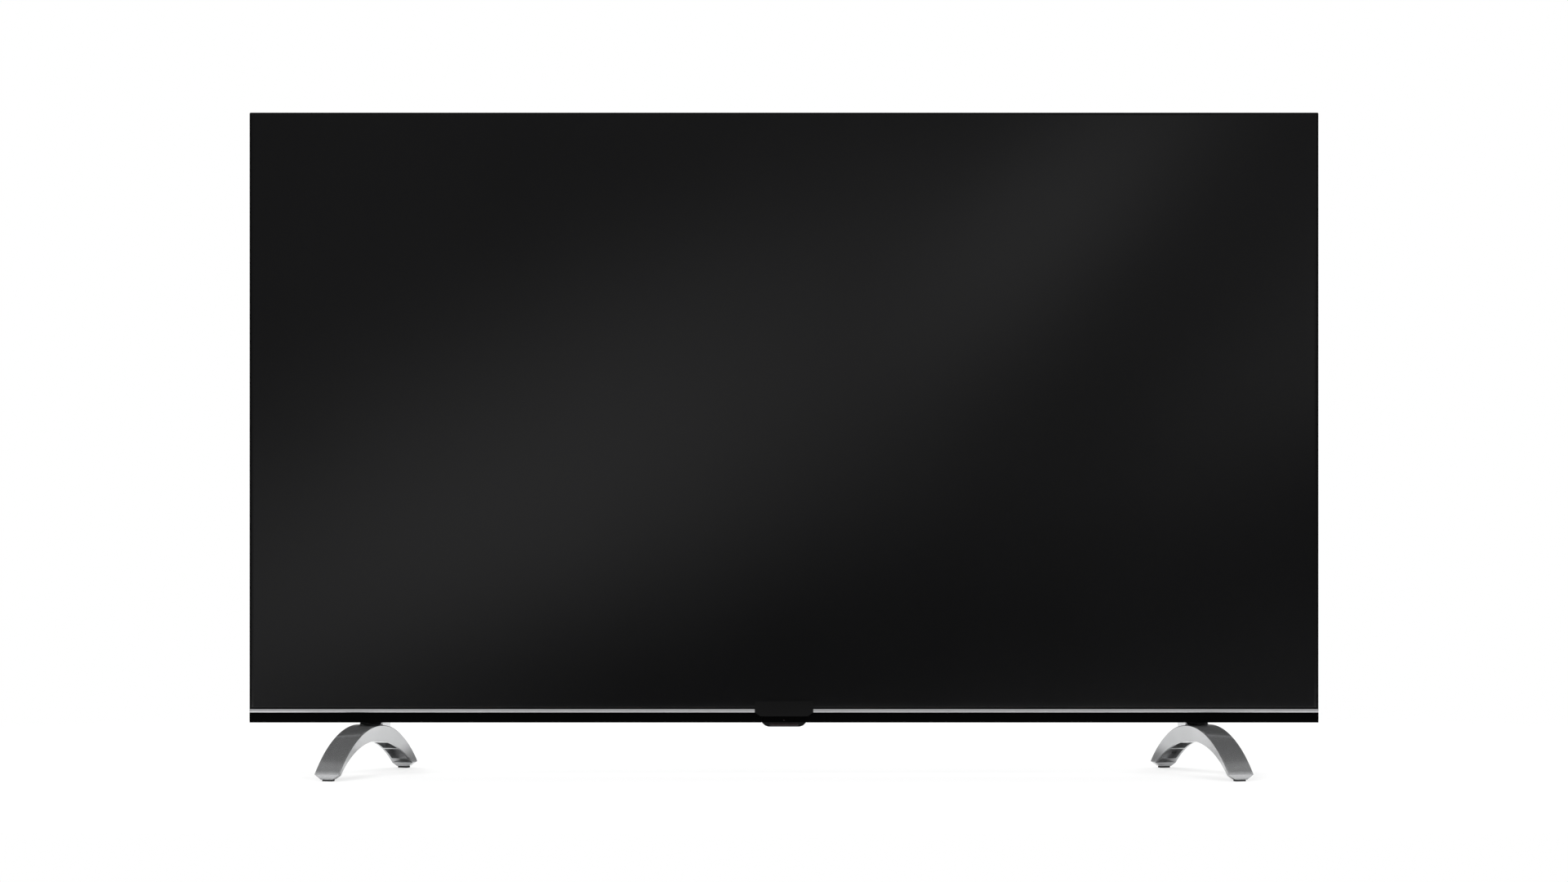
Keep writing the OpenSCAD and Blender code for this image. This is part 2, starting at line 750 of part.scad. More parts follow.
// The cover's outer shape, or its hollow when set in by a wall's thickness
module cover_form(inset, front) {
    low = up(cover_lift) + inset;
    bevel_z = up(cover_lift + skirt_bevel);
    skirt_side = concat(
        [
            [back_q, low], [skirt_d - skirt_bevel - 0.4 * inset, low],
            [skirt_d - inset, bevel_z + 0.4 * inset], [skirt_d - inset, up(skirt_face_h) - 0.4 * inset],
            [back_q, up(skirt_h) - 1.4 * inset]
        ],
        front < back_q ? [[front, up(skirt_h) - 1.4 * inset], [front, low]] : []
    );
    hump_side = concat(
        [
            [back_q, bevel_z + inset], [skirt_d - inset, bevel_z + inset],
            [hump_d - inset, up(hump_low) + 0.4 * inset],
            [hump_d - inset, up(hump_face_h) - 0.4 * inset], [back_q, up(hump_h) - 1.4 * inset]
        ],
        front < back_q ? [[front, up(hump_h) - 1.4 * inset], [front, bevel_z + inset]] : []
    );
    skirt_w = skirt_half_w - 1.2 * inset;
    skirt_rear_w = skirt_w - skirt_lean;
    skirt_plan = concat(
        [[skirt_w, back_q], [skirt_rear_w, skirt_d], [-skirt_rear_w, skirt_d], [-skirt_w, back_q]],
        front < back_q ? [[-skirt_w, front], [skirt_w, front]] : []
    );
    hump_side_w = hump_half_w - inset;
    hump_rear_w = hump_half_w - hump_bevel - 0.4 * inset;
    hump_side_q = hump_d - hump_bevel - 0.4 * inset;
    hump_plan = [
        [hump_side_w, front], [hump_side_w, hump_side_q], [hump_rear_w, hump_d - inset],
        [-hump_rear_w, hump_d - inset], [-hump_side_w, hump_side_q], [-hump_side_w, front]
    ];
    intersection() {
        across(-far / 2, far / 2) polygon(skirt_side);
        translate([0, at(0), 0]) linear_extrude(far) polygon(skirt_plan);
    }
    intersection() {
        across(-far / 2, far / 2) polygon(hump_side);
        translate([0, at(0), 0]) linear_extrude(far) polygon(hump_plan);
    }
}

module rear_cover() {
    color("#151517") difference() {
        union() {
            difference() {
                cover_form(0, back_q);
                cover_form(cover_wall, back_q - cut);
            }
            intersection() {
                cover_form(0, back_q);
                union() {
                    for (p = cover_screw_places) peg(p[0], back_q, hump_d, up(p[1]), cover_boss_r);
                    peg(stick_x, switch_top, skirt_d, up(stick_z), dish_r + cover_wall);
                }
            }
        }
        for (p = cover_screw_places) {
            peg(p[0], back_q + cover_screw_seat, hump_d + cut, up(p[1]), cover_screw_head_r + 0.5);
            peg(p[0], back_q - cut, back_q + cover_screw_seat + cut, up(p[1]), cover_screw_r + 0.15);
        }
        peg(stick_x, dish_q, skirt_d + cut, up(stick_z), dish_r);
        peg(stick_x, switch_top - cut, dish_q + cut, up(stick_z), stick_hole_r);
        for (p = vesa_places) peg(p[0], hump_d - cover_wall - cut, hump_d + cut, p[1], vesa_boss_r + 1);
        for (x = [-vent_half:vent_pitch:vent_half], z = [vent_low_z, vent_high_z])
            block([x - vent_w / 2, x + vent_w / 2], [hump_d - cover_wall - cut, hump_d + cut],
                [up(z), up(z + vent_h)]);
        block([mouth_x - cut, hump_half_w + cut], terminal_window_q, terminal_window_z);
        block([-hump_half_w - cut, cut - mouth_x],
            [board_top - fit_gap, board_top + inlet_size[1] + fit_gap],
            [up(inlet_z) - inlet_size[0] / 2 - fit_gap, up(inlet_z) + inlet_size[0] / 2 + fit_gap]);
        for (side = SIDES) {
            foot_place(side) neck_prism(up(cover_lift) - cut, neck_top, 0.5);
            for (x = [-grille_half:grille_pitch:grille_half])
                block([side * speaker_x + x - grille_w / 2, side * speaker_x + x + grille_w / 2],
                    [speaker_q - 10, speaker_q + 10], [floor_gap, up(cover_floor) + cut]);
        }
    }
}

// A cross-headed screw pointing along -Z from the underside of its head
module screw(r, length, head_r, head_h) {
    slot = head_r * 0.28;
    difference() {
        union() {
            translate([0, 0, -length]) cylinder(r = r, h = length + head_h / 2);
            cylinder(r = head_r, h = head_h);
        }
        for (a = [0, 90]) rotate(a) translate([0, 0, head_h])
            cube([head_r * 1.2, slot, head_h * 0.9], center = true);
    }
}

module cover_screws() {
    color("#3a3a3c") for (p = cover_screw_places)
        translate([p[0], at(back_q + cover_screw_seat), up(p[1])]) rotate([-90, 0, 0])
            screw(cover_screw_r, cover_screw_seat, cover_screw_head_r, 2.4);
}

module wall_mount_bosses() {
    color("#8d9094") for (p = vesa_places) difference() {
        union() {
            peg(p[0], back_q, back_q + 2, p[1], 2 * vesa_boss_r);
            peg(p[0], back_q, hump_d - 1, p[1], vesa_boss_r);
        }
        peg(p[0], hump_d - 1 - vesa_depth, hump_d, p[1], vesa_r);
    }
}

// Circuit boards and sockets

main_holes = [for (x = [board_x + 7, board_x + 130], f = [0, 0.5, 1])
    [x, up(board_z + 7 + f * (main_board_h - 14))]];
power_holes = [for (x = [-board_x - 7, 18 - board_edge], f = [0, 0.5, 1])
    [x, up(board_z + 7 + f * (power_board_h - 14))]];

module circuit_board(x, h, holes) {
    color("#1d5c34") difference() {
        block(x, [board_q, board_top], [up(board_z), up(board_z + h)]);
        for (p = holes) peg(p[0], board_q - cut, board_top + cut, p[1], board_screw_r + 0.2);
    }
}

module main_board() {
    circuit_board([board_x, board_edge], main_board_h, main_holes);
}

module power_board() {
    circuit_board([-board_edge, -board_x], power_board_h, power_holes);
}

module board_standoffs() {
    color("#b58b3a") for (p = concat(main_holes, power_holes)) difference() {
        peg(p[0], back_q, board_q, p[1], standoff_r);
        peg(p[0], back_q + 0.6, board_q + cut, p[1], board_screw_r + run_gap);
    }
}

module board_screws() {
    color("#c4c6c8") for (p = concat(main_holes, power_holes))
        translate([p[0], at(board_top), p[1]]) rotate([-90, 0, 0])
            screw(board_screw_r, board_t + 3, board_screw_r + 1.3, 1.8);
}

module heat_sink() {
    x0 = board_x + 44;
    z0 = up(board_z + 100);
    side = 62;
    color("#6c7074") {
        block([x0, x0 + side], [board_top, board_top + 3], [z0, z0 + side]);
        for (i = [0:7])
            block([x0 + i * 8.5, x0 + i * 8.5 + 2.5], [board_top + 2, board_top + 15], [z0, z0 + side]);
    }
}

// A metal shell on the board, open towards the right, with a tongue inside
module shell_socket(z, size, depth, tongue, tongue_at) {
    skin = 0.5;
    middle = board_top + size[1] / 2;
    difference() {
        block([mouth_x - depth, mouth_x], [board_top, board_top + size[1]],
            [z - size[0] / 2, z + size[0] / 2]);
        block([mouth_x - depth + 1.5, mouth_x + cut], [board_top + skin, board_top + size[1] - skin],
            [z - size[0] / 2 + skin, z + size[0] / 2 - skin]);
    }
    block([mouth_x - depth + 1, mouth_x - 2],
        [middle + tongue_at - tongue[1] / 2, middle + tongue_at + tongue[1] / 2],
        [z - tongue[0] / 2, z + tongue[0] / 2]);
}

hdmi_zs = [for (i = [0:hdmi_count - 1]) up(hdmi_z + i * socket_pitch)];
usb_zs = [for (i = [0:usb_count - 1]) up(usb_z + i * (socket_pitch - 2))];
barrel_q = board_top + 7;

module hdmi_sockets() {
    color("#a9adb1") for (z = hdmi_zs) shell_socket(z, [hdmi_w, hdmi_h], 12, [11, 1.4], 0.4);
}

module usb_sockets() {
    color("#a9adb1") for (z = usb_zs) shell_socket(z, [usb_w, usb_h], 15, [11.2, 2], 1.4);
}

module card_slot() {
    z = up(card_z);
    color("#202225") difference() {
        block([mouth_x - card_case[2], mouth_x], [board_top, board_top + card_case[1]],
            [z - card_case[0] / 2, z + card_case[0] / 2]);
        block([mouth_x - card_case[2] + 2, mouth_x + cut],
            [board_top + 1.3, board_top + 1.3 + card_h], [z - card_w / 2, z + card_w / 2]);
    }
}

module lan_socket() {
    z = up(lan_z);
    plug_w = lan_w - 4;
    latch_w = 6.2;
    color("#a9adb1") difference() {
        block([mouth_x - 19, mouth_x], [board_top, board_top + lan_h], [z - lan_w / 2, z + lan_w / 2]);
        block([mouth_x - 14, mouth_x + cut], [board_top + 4.2, board_top + lan_h - 1.4],
            [z - plug_w / 2, z + plug_w / 2]);
        block([mouth_x - 12, mouth_x + cut], [board_top + 1.4, board_top + 4.3],
            [z - latch_w / 2, z + latch_w / 2]);
    }
}

module aerial_sockets() {
    color("#a9adb1") difference() {
        union() {
            block([mouth_x - 34, board_edge], [board_top, board_top + 14],
                [up(sat_z) - 9, up(aerial_z) + 10]);
            rod(board_edge - cut, mouth_x, barrel_q, up(sat_z), sat_r + 1);
            rod(mouth_x - cut, mouth_x + 10, barrel_q, up(sat_z), sat_r);
            difference() {
                rod(board_edge - cut, mouth_x + 8, barrel_q, up(aerial_z), aerial_r + 1.2);
                rod(mouth_x - 1, mouth_x + 9, barrel_q, up(aerial_z), aerial_r);
            }
            rod(board_edge - cut, mouth_x + 7, barrel_q, up(aerial_z), 2);
        }
        rod(mouth_x + 1, mouth_x + 11, barrel_q, up(sat_z), 0.6);
        rod(mouth_x - 1, mouth_x + 9, barrel_q, up(aerial_z), 1.2);
    }
}

module headphone_jack() {
    z = up(jack_z);
    color("#17181a") difference() {
        union() {
            block([mouth_x - 15, board_edge], [board_top, board_top + 8], [z - 5, z + 5]);
            rod(board_edge - cut, mouth_x, board_top + 4, z, 3.6);
        }
        rod(mouth_x - 13.5, mouth_x + cut, board_top + 4, z, jack_r);
    }
}

module terminal_plate() {
    loose = 0.3;
    color("#1a1b1d") difference() {
        block([mouth_x - terminal_t, mouth_x],
            [terminal_window_q[0] - terminal_flange, terminal_window_q[1] + terminal_flange],
            [terminal_window_z[0] - terminal_flange, terminal_window_z[1] + terminal_flange]);
        for (z = hdmi_zs) terminal_cut(z, hdmi_w, hdmi_h, loose);
        for (z = usb_zs) terminal_cut(z, usb_w, usb_h, loose);
        terminal_cut(up(card_z), card_case[0], card_case[1], loose);
        terminal_cut(up(lan_z), lan_w, lan_h, loose);
        rod(mouth_x - terminal_t - cut, mouth_x + cut, barrel_q, up(sat_z), sat_r + 1 + loose);
        rod(mouth_x - terminal_t - cut, mouth_x + cut, barrel_q, up(aerial_z), aerial_r + 1.2 + loose);
        rod(mouth_x - terminal_t - cut, mouth_x + cut, board_top + 4, up(jack_z), 3.6 + loose);
    }
}

module terminal_cut(z, w, h, loose) {
    block([mouth_x - terminal_t - cut, mouth_x + cut], [board_top - loose, board_top + h + loose],
        [z - w / 2 - loose, z + w / 2 + loose]);
}

inlet_q = board_top + inlet_size[1] / 2;
inlet_depth = 15;

module mains_inlet() {
    x0 = -hump_half_w;
    hole_r = 4.6;
    color("#101113") difference() {
        block([x0, x0 + inlet_size[2]], [board_top, board_top + inlet_size[1]],
            [up(inlet_z) - inlet_size[0] / 2, up(inlet_z) + inlet_size[0] / 2]);
        for (side = SIDES) {
            rod(x0 - cut, x0 + inlet_depth, inlet_q, up(inlet_z) + side * inlet_pin_gap / 2, hole_r);
            rod(x0 + inlet_depth - cut, x0 + inlet_size[2] + cut, inlet_q,
                up(inlet_z) + side * inlet_pin_gap / 2, inlet_pin_r);
        }
        block([x0 - cut, x0 + inlet_depth], [inlet_q - 3.6, inlet_q + 3.6],
            [up(inlet_z) - inlet_pin_gap / 2, up(inlet_z) + inlet_pin_gap / 2]);
    }
}

module inlet_pins() {
    color("#c9ccd0") for (side = SIDES)
        rod(2 - hump_half_w, inlet_size[2] - hump_half_w, inlet_q,
            up(inlet_z) + side * inlet_pin_gap / 2, inlet_pin_r);
}

module transformers() {
    half = transformer_w / 2;
    deep = half - 1;
    core = half - 7;
    base = board_top + 4;
    head = board_top + transformer_h - 6;
    for (p = [[-262, 116], [-184, 126]]) {
        x = p[0];
        z = up(board_z + p[1]);
        color("#3b3531") {
            block([x - half, x + half], [board_top, base], [z - deep, z + deep]);
            block([x - core, x + core], [base - cut, head + cut], [z - deep + 3, z + deep - 3]);
            block([x - half, x + half], [head, board_top + transformer_h], [z - deep, z + deep]);
        }
    }
}

module capacitors() {
    color("#20242c") for (x = [-150, -176, -202])
        peg(x, board_top, board_top + 32, up(board_z + 34), 10);
}

module power_heat_sinks() {
    color("#7b7f84") for (x = [-296, -222]) {
        z0 = up(board_z + 84);
        block([x - 1.5, x + 1.5], [board_top, board_top + 30], [z0, z0 + 64]);
        for (i = [0:3])
            block([x - 6, x + 6], [board_top + 8 + 6 * i, board_top + 9.5 + 6 * i], [z0, z0 + 64]);
    }
}

// Flat cable from the main board down to the right-hand source board
module panel_ribbon() {
    w = 0.4;
    down_q = back_q + 0.6;
    low = up(6);
    source_back = source_q + source_t;
    board_low = up(board_z);
    color("#e6e6e2") across(board_x + ribbon_x, board_x + ribbon_x + ribbon_w) polygon([
        [board_top, board_low + 14], [board_top, board_low - 2], [down_q, board_low - 14],
        [down_q, low + w], [source_back, low + w], [source_back, low], [down_q + w, low],
        [down_q + w, board_low - 14.2], [board_top + w, board_low - 2.2], [board_top + w, board_low + 14]
    ]);
}

// Smooth curve through given places, and a round lead that follows it
function bend(a, b, c, d, t) = 0.5 * (2 * b + (c - a) * t + (2 * a - 5 * b + 4 * c - d) * t * t
    + (3 * b - a - 3 * c + d) * t * t * t);
function unit(v) = v / norm(v);
function smooth(p, steps) = concat(
    [for (i = [0:len(p) - 2], k = [0:steps - 1])
        bend(p[max(i - 1, 0)], p[i], p[i + 1], p[min(i + 2, len(p) - 1)], k / steps)],
    [p[len(p) - 1]]
);

module lead(places, r) {
    sides = 8;
    path = smooth([for (p = places) [p[0], at(p[1]), p[2]]], 5);
    n = len(path);
    lean = [0.31, 0.9, 0.29];
    rings = [for (i = [0:n - 1])
        let (along = unit(path[min(i + 1, n - 1)] - path[max(i - 1, 0)]),
            one = unit(cross(along, lean)), two = cross(along, one))
        for (k = [0:sides - 1])
            path[i] + r * (cos(360 * k / sides) * one + sin(360 * k / sides) * two)];
    skin = [for (i = [0:n - 2], k = [0:sides - 1])
        let (a = i * sides + k, b = i * sides + (k + 1) % sides)
        [a, a + sides, b + sides, b]];
    first = [for (k = [0:sides - 1]) k];
    last = [for (k = [sides - 1:-1:0]) (n - 1) * sides + k];
    polyhedron(points = rings, faces = concat([first], skin, [last]));
}

module lamp_harness() {
    z = up(board_z + power_board_h);
    color("#c8c5bb") lead([
        [-board_x - 30, board_top + 2.2, z - 20], [-board_x - 28, board_top + 3, z + 4],
        [-board_x - 4, board_top + 3, z + 30], [-70, board_top, z + 44],
        [harness_hole[0] - 10, back_q + 5, harness_hole[1] - 4],
        [harness_hole[0], back_q + 1.5, harness_hole[1]],
        [harness_hole[0] + harness_r, back_q - steel_t / 2, harness_hole[1]]
    ], harness_r);
}

module speaker_leads() {
    z = up(board_z);
    start = [board_x + 14, board_top + 2, z + 14];
    drop = [board_x + 12, board_top + 4, z - 8];
    beside = [16, 0, 0];
    box_top = box_z + speaker_h;
    color("#8a2020") {
        lead([start + beside, drop + beside, [board_x + 62, back_q + 17, z - 30],
            [speaker_x - 60, back_q + 17, z - 36], [speaker_x - 10, speaker_q, z - 40],
            [speaker_x, speaker_q, box_top + 10], [speaker_x, speaker_q, box_top]], 1.4);
        lead([start, drop, [board_x - 60, back_q + 17, z - 30], [-board_x, back_q + 17, z - 34],
            [60 - speaker_x, back_q + 17, z - 36], [10 - speaker_x, speaker_q, z - 40],
            [-speaker_x, speaker_q, box_top + 10], [-speaker_x, speaker_q, box_top]], 1.4);
    }
}

// Speakers

basket_r = driver_r - 2.4;
basket_in_r = driver_r - 3.6;
cone_r = driver_r - 5.8;
coil_r = [6.2, 6.7];
coil_gap_r = coil_r[1] + 0.5;
pole_r = coil_r[0] - 0.6;
magnet_r = basket_r - 1.4;
// Heights above the flange: the cone's rim, the plate over the coil, and the magnet
cone_z = cone_stroke + 0.5;
pole_plate_z = cone_z + 5.4 + cone_stroke + 0.1;
magnet_z = pole_plate_z + 2;

module speaker_boxes() {
    color("#1b1c1e") for (side = SIDES) {
        x = side * speaker_x;
        difference() {
            block([x - speaker_l / 2, x + speaker_l / 2], box_q, [box_z, box_z + speaker_h]);
            block([x - speaker_l / 2 + speaker_wall, x + speaker_l / 2 - speaker_wall],
                [box_q[0] + speaker_wall, box_q[1] - speaker_wall],
                [box_z + speaker_wall, box_z + speaker_h - speaker_wall]);
            translate([x, at(speaker_q), box_z - cut])
                cylinder(r = basket_r + fit_gap, h = speaker_wall + 2 * cut);
        }
    }
}

module at_speaker(side) {
    translate([side * speaker_x, at(speaker_q), speaker_floor]) children();
}

module speaker_frames() {
    color("#4c5054") for (side = SIDES) at_speaker(side) {
        rotate_extrude() polygon([
            [basket_in_r, 0], [driver_r, 0], [driver_r, flange_t], [basket_r, flange_t],
            [basket_r, magnet_z], [coil_gap_r, magnet_z], [coil_gap_r, pole_plate_z],
            [basket_in_r, pole_plate_z]
        ]);
    }
}

// The ring magnet with its yoke and pole
module speaker_magnets() {
    color("#303236") for (side = SIDES) at_speaker(side) {
        rotate_extrude() polygon([
            [0, pole_plate_z + 0.6], [pole_r, pole_plate_z + 0.6], [pole_r, magnet_z + 5],
            [coil_gap_r + 0.6, magnet_z + 5], [coil_gap_r + 0.6, magnet_z], [magnet_r, magnet_z],
            [magnet_r, magnet_z + 7], [0, magnet_z + 7]
        ]);
    }
}

module cone() {
    color("#2d2e30") translate([0, 0, cone_z]) rotate_extrude() polygon([
        [0, 3.4], [3.5, 3.7], [6, 4.5], [cone_r, 0], [cone_r, 0.8], [coil_r[1], 5.4],
        [coil_r[1], 9.6], [coil_r[0], 9.6], [coil_r[0], 5.4], [5.8, 5.2], [3.4, 4.4], [0, 4.1]
    ]);
}

module surround() {
    inner = cone_r + 0.25;
    outer = basket_in_r - 0.25;
    middle = (inner + outer) / 2;
    color("#0e0e0f") translate([0, 0, cone_z]) rotate_extrude() polygon([
        [inner, 0.1], [inner + 0.4, 0.1], [middle, 1], [outer - 0.4, 0.1], [outer, 0.1],
        [outer, 0.7], [outer - 0.35, 0.7], [middle, 1.7], [inner + 0.35, 0.7], [inner, 0.7]
    ]);
}

module left_cone() {
    at_speaker(LEFT) cone();
}

module right_cone() {
    at_speaker(RIGHT) cone();
}

module left_surround() {
    at_speaker(LEFT) surround();
}

module right_surround() {
    at_speaker(RIGHT) surround();
}

// Feet

toe_angle = asin(half_span / arch_r);
// The arch is solid round the neck and its screws, and in the toes
neck_solid = neck_l / 2 + 6;
hollow_end = asin((half_span - toe_l - foot_wall) / arch_r);
hollow_front = asin((neck_back - neck_solid) / arch_r);
hollow_rear = asin((neck_back + neck_solid) / (arch_r - foot_t));
// Hollows under the arch: first angle, last angle and count
hollow_rows = [[-hollow_end, hollow_front, 4], [hollow_rear, hollow_end, 2]];
rib_angle = 1.2;
hollow_top_t = 3.2;
side_slope = (foot_top_w - foot_under_w) / 2 / foot_t;
neck_top = up(neck_in);
neck_round = 1.5;
neck_root = 1;
seat_z = arch_top - foot_t + foot_screw_seat;
pad_w = toe_flat - 1;
// Middle of a toe's nose, which meets the arch's upper face at a slight angle
nose_blend = 0.1;
nose_y = half_span - toe_round;
nose_z = arch_z + sqrt(pow(arch_r - toe_round + nose_blend, 2) - nose_y * nose_y);
nose_angle = atan2(nose_y, nose_z - arch_z);

// Puts a foot drawn along Y in its place; the right foot mirrors the left one
module foot_place(side) {
    mirror([side == RIGHT ? 1 : 0, 0, 0]) translate([-foot_x, 0, 0]) rotate([0, 0, -foot_splay]) children();
}

// Repeats a shape at each of the two screws up a foot's neck
module at_foot_screws() {
    for (end = SIDES) translate([0, neck_back + end * foot_screw_gap / 2, 0]) children();
}

module neck_prism(z0, z1, grow) {
    translate([0, neck_back, z0]) linear_extrude(z1 - z0)
        polygon(round_rect(neck_w + 2 * grow, neck_l + 2 * grow, neck_round + grow));
}

// The neck, from just under the arch's upper face to the bracket in the cabinet
module neck() {
    difference() {
        neck_prism(arch_top - foot_t / 2, neck_top, 0);
        translate([0, 0, arch_z]) rotate([0, 90, 0])
            cylinder(r = arch_r - neck_root, h = far, center = true);
    }
}

// The hollow curve in which the neck's front or rear face rises from the arch
module neck_curve(end) {
    face_y = neck_back + end * neck_l / 2;
    curve_y = face_y + end * neck_blend;
    curve_z = arch_z + sqrt(arch_r * arch_r - curve_y * curve_y) + neck_blend;
    rotate([90, 0, 90]) linear_extrude(neck_w - 2 * neck_round, center = true) difference() {
        translate([min(face_y - end * neck_round, curve_y), curve_z - 2 * neck_blend])
            square([neck_blend + neck_round, 2 * neck_blend]);
        translate([curve_y, curve_z]) circle(neck_blend);
    }
}

// A section drawn as (radius, width), swept round the arch's centre between two angles from the top
module arch_sweep(from, to) {
    translate([0, 0, arch_z]) rotate([0, -90, 0]) rotate([0, 0, from])
        rotate_extrude(angle = to - from) children();
}

// All that lies beyond a toe's rounded nose
module beyond_nose() {
    reach = 3 * toe_round;
    rotate([90, 0, 90]) linear_extrude(far, center = true) translate([nose_y, nose_z]) difference() {
        polygon([
            [0, 0], [reach * sin(nose_angle), reach * cos(nose_angle)], [reach, reach],
            [reach, -reach], [0, -reach]
        ]);
        circle(toe_round);
    }
}

// The space above the floor pads, narrowed by the slopes under the toes
module above_pads() {
    flat = toe_flat / 2;
    wide = foot_top_w / 2;
    slope_z = pad_t + toe_slope_h;
    rotate([90, 0, 0]) linear_extrude(far, center = true) polygon([
        [-flat, pad_t], [flat, pad_t], [wide, slope_z], [wide, far], [-wide, far], [-wide, slope_z]
    ]);
}

// Half the width of the arch's section at a depth under its upper face
function half_at(depth) = foot_top_w / 2 - depth * side_slope;

// The round space under the arch, which ends at the toes' solid blocks
module under_arch() {
    reach = half_span - toe_l;
    intersection() {
        translate([0, 0, under_z]) rotate([0, 90, 0]) cylinder(r = under_r, h = far, center = true);
        translate([-far / 2, -reach, -far / 2]) cube([far, 2 * reach, far]);
    }
}

module foot() {
    soft = 1.2;
    deep = foot_t + 2;
    difference() {
        union() {
            intersection() {
                arch_sweep(-toe_angle - 6, toe_angle + 6) polygon([
                    [arch_r - deep, -half_at(deep)],
                    [arch_r - soft, -half_at(0)],
                    [arch_r, soft - half_at(0)],
                    [arch_r, half_at(0) - soft],
                    [arch_r - soft, half_at(0)],
                    [arch_r - deep, half_at(deep)]
                ]);
                above_pads();
            }
            neck();
            for (end = SIDES) neck_curve(end);
        }
        under_arch();
        for (row = hollow_rows, i = [0:row[2] - 1]) {
            step = (row[1] - row[0] + rib_angle) / row[2];
            from = row[0] + i * step;
            arch_sweep(from, from + step - rib_angle) polygon([
                [arch_r - deep - cut, foot_wall - half_at(deep)],
                [arch_r - hollow_top_t, foot_wall - half_at(hollow_top_t)],
                [arch_r - hollow_top_t, half_at(hollow_top_t) - foot_wall],
                [arch_r - deep - cut, half_at(deep) - foot_wall]
            ]);
        }
        beyond_nose();
        mirror([0, 1, 0]) beyond_nose();
        at_foot_screws() {
            cylinder(r = foot_head[0] + 0.4, h = seat_z);
            cylinder(r = foot_screw_r + 0.2, h = far);
        }
    }
}

module left_foot() {
    color("#8f9194") foot_place(LEFT) foot();
}

module right_foot() {
    color("#8f9194") foot_place(RIGHT) foot();
}

module foot_pads() {
    color("#111111") for (side = SIDES) foot_place(side) for (end = SIDES)
        translate([0, end * (half_span - 1.5 - pad_l / 2), 0]) linear_extrude(pad_t)
            polygon(round_rect(pad_w, pad_l, 2));
}

module foot_brackets() {
    color("#77797c") for (side = SIDES) difference() {
        block([side * neck_x - bracket_half_w, side * neck_x + bracket_half_w],
            [back_q, skirt_d - cover_wall - 1], [neck_top, neck_top + bracket_h]);
        foot_place(side) at_foot_screws() translate([0, 0, neck_top - cut])
            cylinder(r = foot_screw_r + run_gap, h = foot_screw_grip + 2 * cut);
    }
}

module foot_screws() {
    length = neck_top - seat_z + foot_screw_grip;
    color("#3a3a3c") for (side = SIDES) foot_place(side) at_foot_screws()
        translate([0, 0, seat_z]) rotate([180, 0, 0]) screw(foot_screw_r, length, foot_head[0], foot_head[1]);
}

// Control stick

stick_height = up(stick_z);
plunger_in_r = gimbal_r[1] + 0.5;
stem_pin_r = pin_r - 0.1;

module along_stick() {
    translate([stick_x, at(0), stick_height]) rotate([-90, 0, 0]) children();
}

module key_board() {
    color("#1d5c34") block([stick_x - 15, stick_x + 15], [switch_base - 1.6, switch_base],
        [stick_height - 13, stick_height + 13]);
}

module stick_switch() {
    seat = gimbal_q + plunger_t / 2 + 0.3;
    color("#222326") along_stick() rotate_extrude() polygon([
        [0, switch_base], [switch_r, switch_base], [switch_r, switch_top],
        [plunger_r - 0.8, switch_top], [plunger_r - 0.8, seat],
        [plunger_r + run_gap, seat], [plunger_r + run_gap, switch_floor], [0, switch_floor]
    ]);
}

module stick_plunger() {
    color("#d8d8d4") difference() {
        along_stick() rotate_extrude() translate([plunger_in_r, gimbal_q - plunger_t / 2])
            square([plunger_r - plunger_in_r, plunger_t]);
        rod(stick_x - far / 4, stick_x + far / 4, gimbal_q, stick_height, pin_r + run_gap);
    }
}

module stick_gimbal() {
    color("#b9bcc0") difference() {
        union() {
            along_stick() rotate_extrude() translate([gimbal_r[0], gimbal_q - gimbal_t / 2])
                square([gimbal_r[1] - gimbal_r[0], gimbal_t]);
            for (side = SIDES) {
                reach = on_side(side, gimbal_r[1] - 0.5, plunger_r - 0.7);
                rod(stick_x + reach[0], stick_x + reach[1], gimbal_q, stick_height, pin_r);
            }
        }
        translate([stick_x, at(gimbal_q), stick_height - 20]) cylinder(r = stem_pin_r + run_gap, h = 40);
    }
}

module control_stick() {
    color("#19191b") {
        along_stick() rotate_extrude() polygon([
            [0, gimbal_q - stem_end], [stem_r, gimbal_q - stem_end], [stem_r, dish_q - 0.5],
            [knob_r - 1, dish_q + 0.8], [knob_r, dish_q + 2], [knob_r, dish_q + 6],
            [knob_r - 0.8, dish_q + 7], [3, dish_q + 6.6], [0, dish_q + 6.3]
        ]);
        translate([stick_x, at(gimbal_q), stick_height - gimbal_r[1] + 0.2])
            cylinder(r = stem_pin_r, h = 2 * (gimbal_r[1] - 0.2));
    }
}

mid_frame();
lcd_panel();
panel_tape();
prism_film();
spread_film();
diffuser_plate();
reflector_sheet();
lamp_strips();
lamp_lenses();
diffuser_posts();
back_tray();
source_boards();
driver_films();
bottom_bar();
left_trim();
right_trim();
sensor_housing();
infrared_window();
standby_light();
sensor_board();
rear_cover();
cover_screws();
terminal_plate();
main_board();
heat_sink();
hdmi_sockets();
usb_sockets();
card_slot();
lan_socket();
aerial_sockets();
headphone_jack();
power_board();
transformers();
capacitors();
power_heat_sinks();
mains_inlet();
inlet_pins();
board_standoffs();
board_screws();
wall_mount_bosses();
panel_ribbon();
lamp_harness();
speaker_leads();
speaker_boxes();
speaker_frames();
speaker_magnets();
left_cone();
right_cone();
left_surround();
right_surround();
left_foot();
right_foot();
foot_pads();
foot_brackets();
foot_screws();
key_board();
stick_switch();
stick_plunger();
stick_gimbal();
control_stick();
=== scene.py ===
# Looks of a flat-screen television on two arched feet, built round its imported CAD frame.
# Metres. X runs to the viewer's right, Y away from the viewer and Z up from the floor.

import json
import math

import bmesh
import bpy
from mathutils import Matrix, Vector

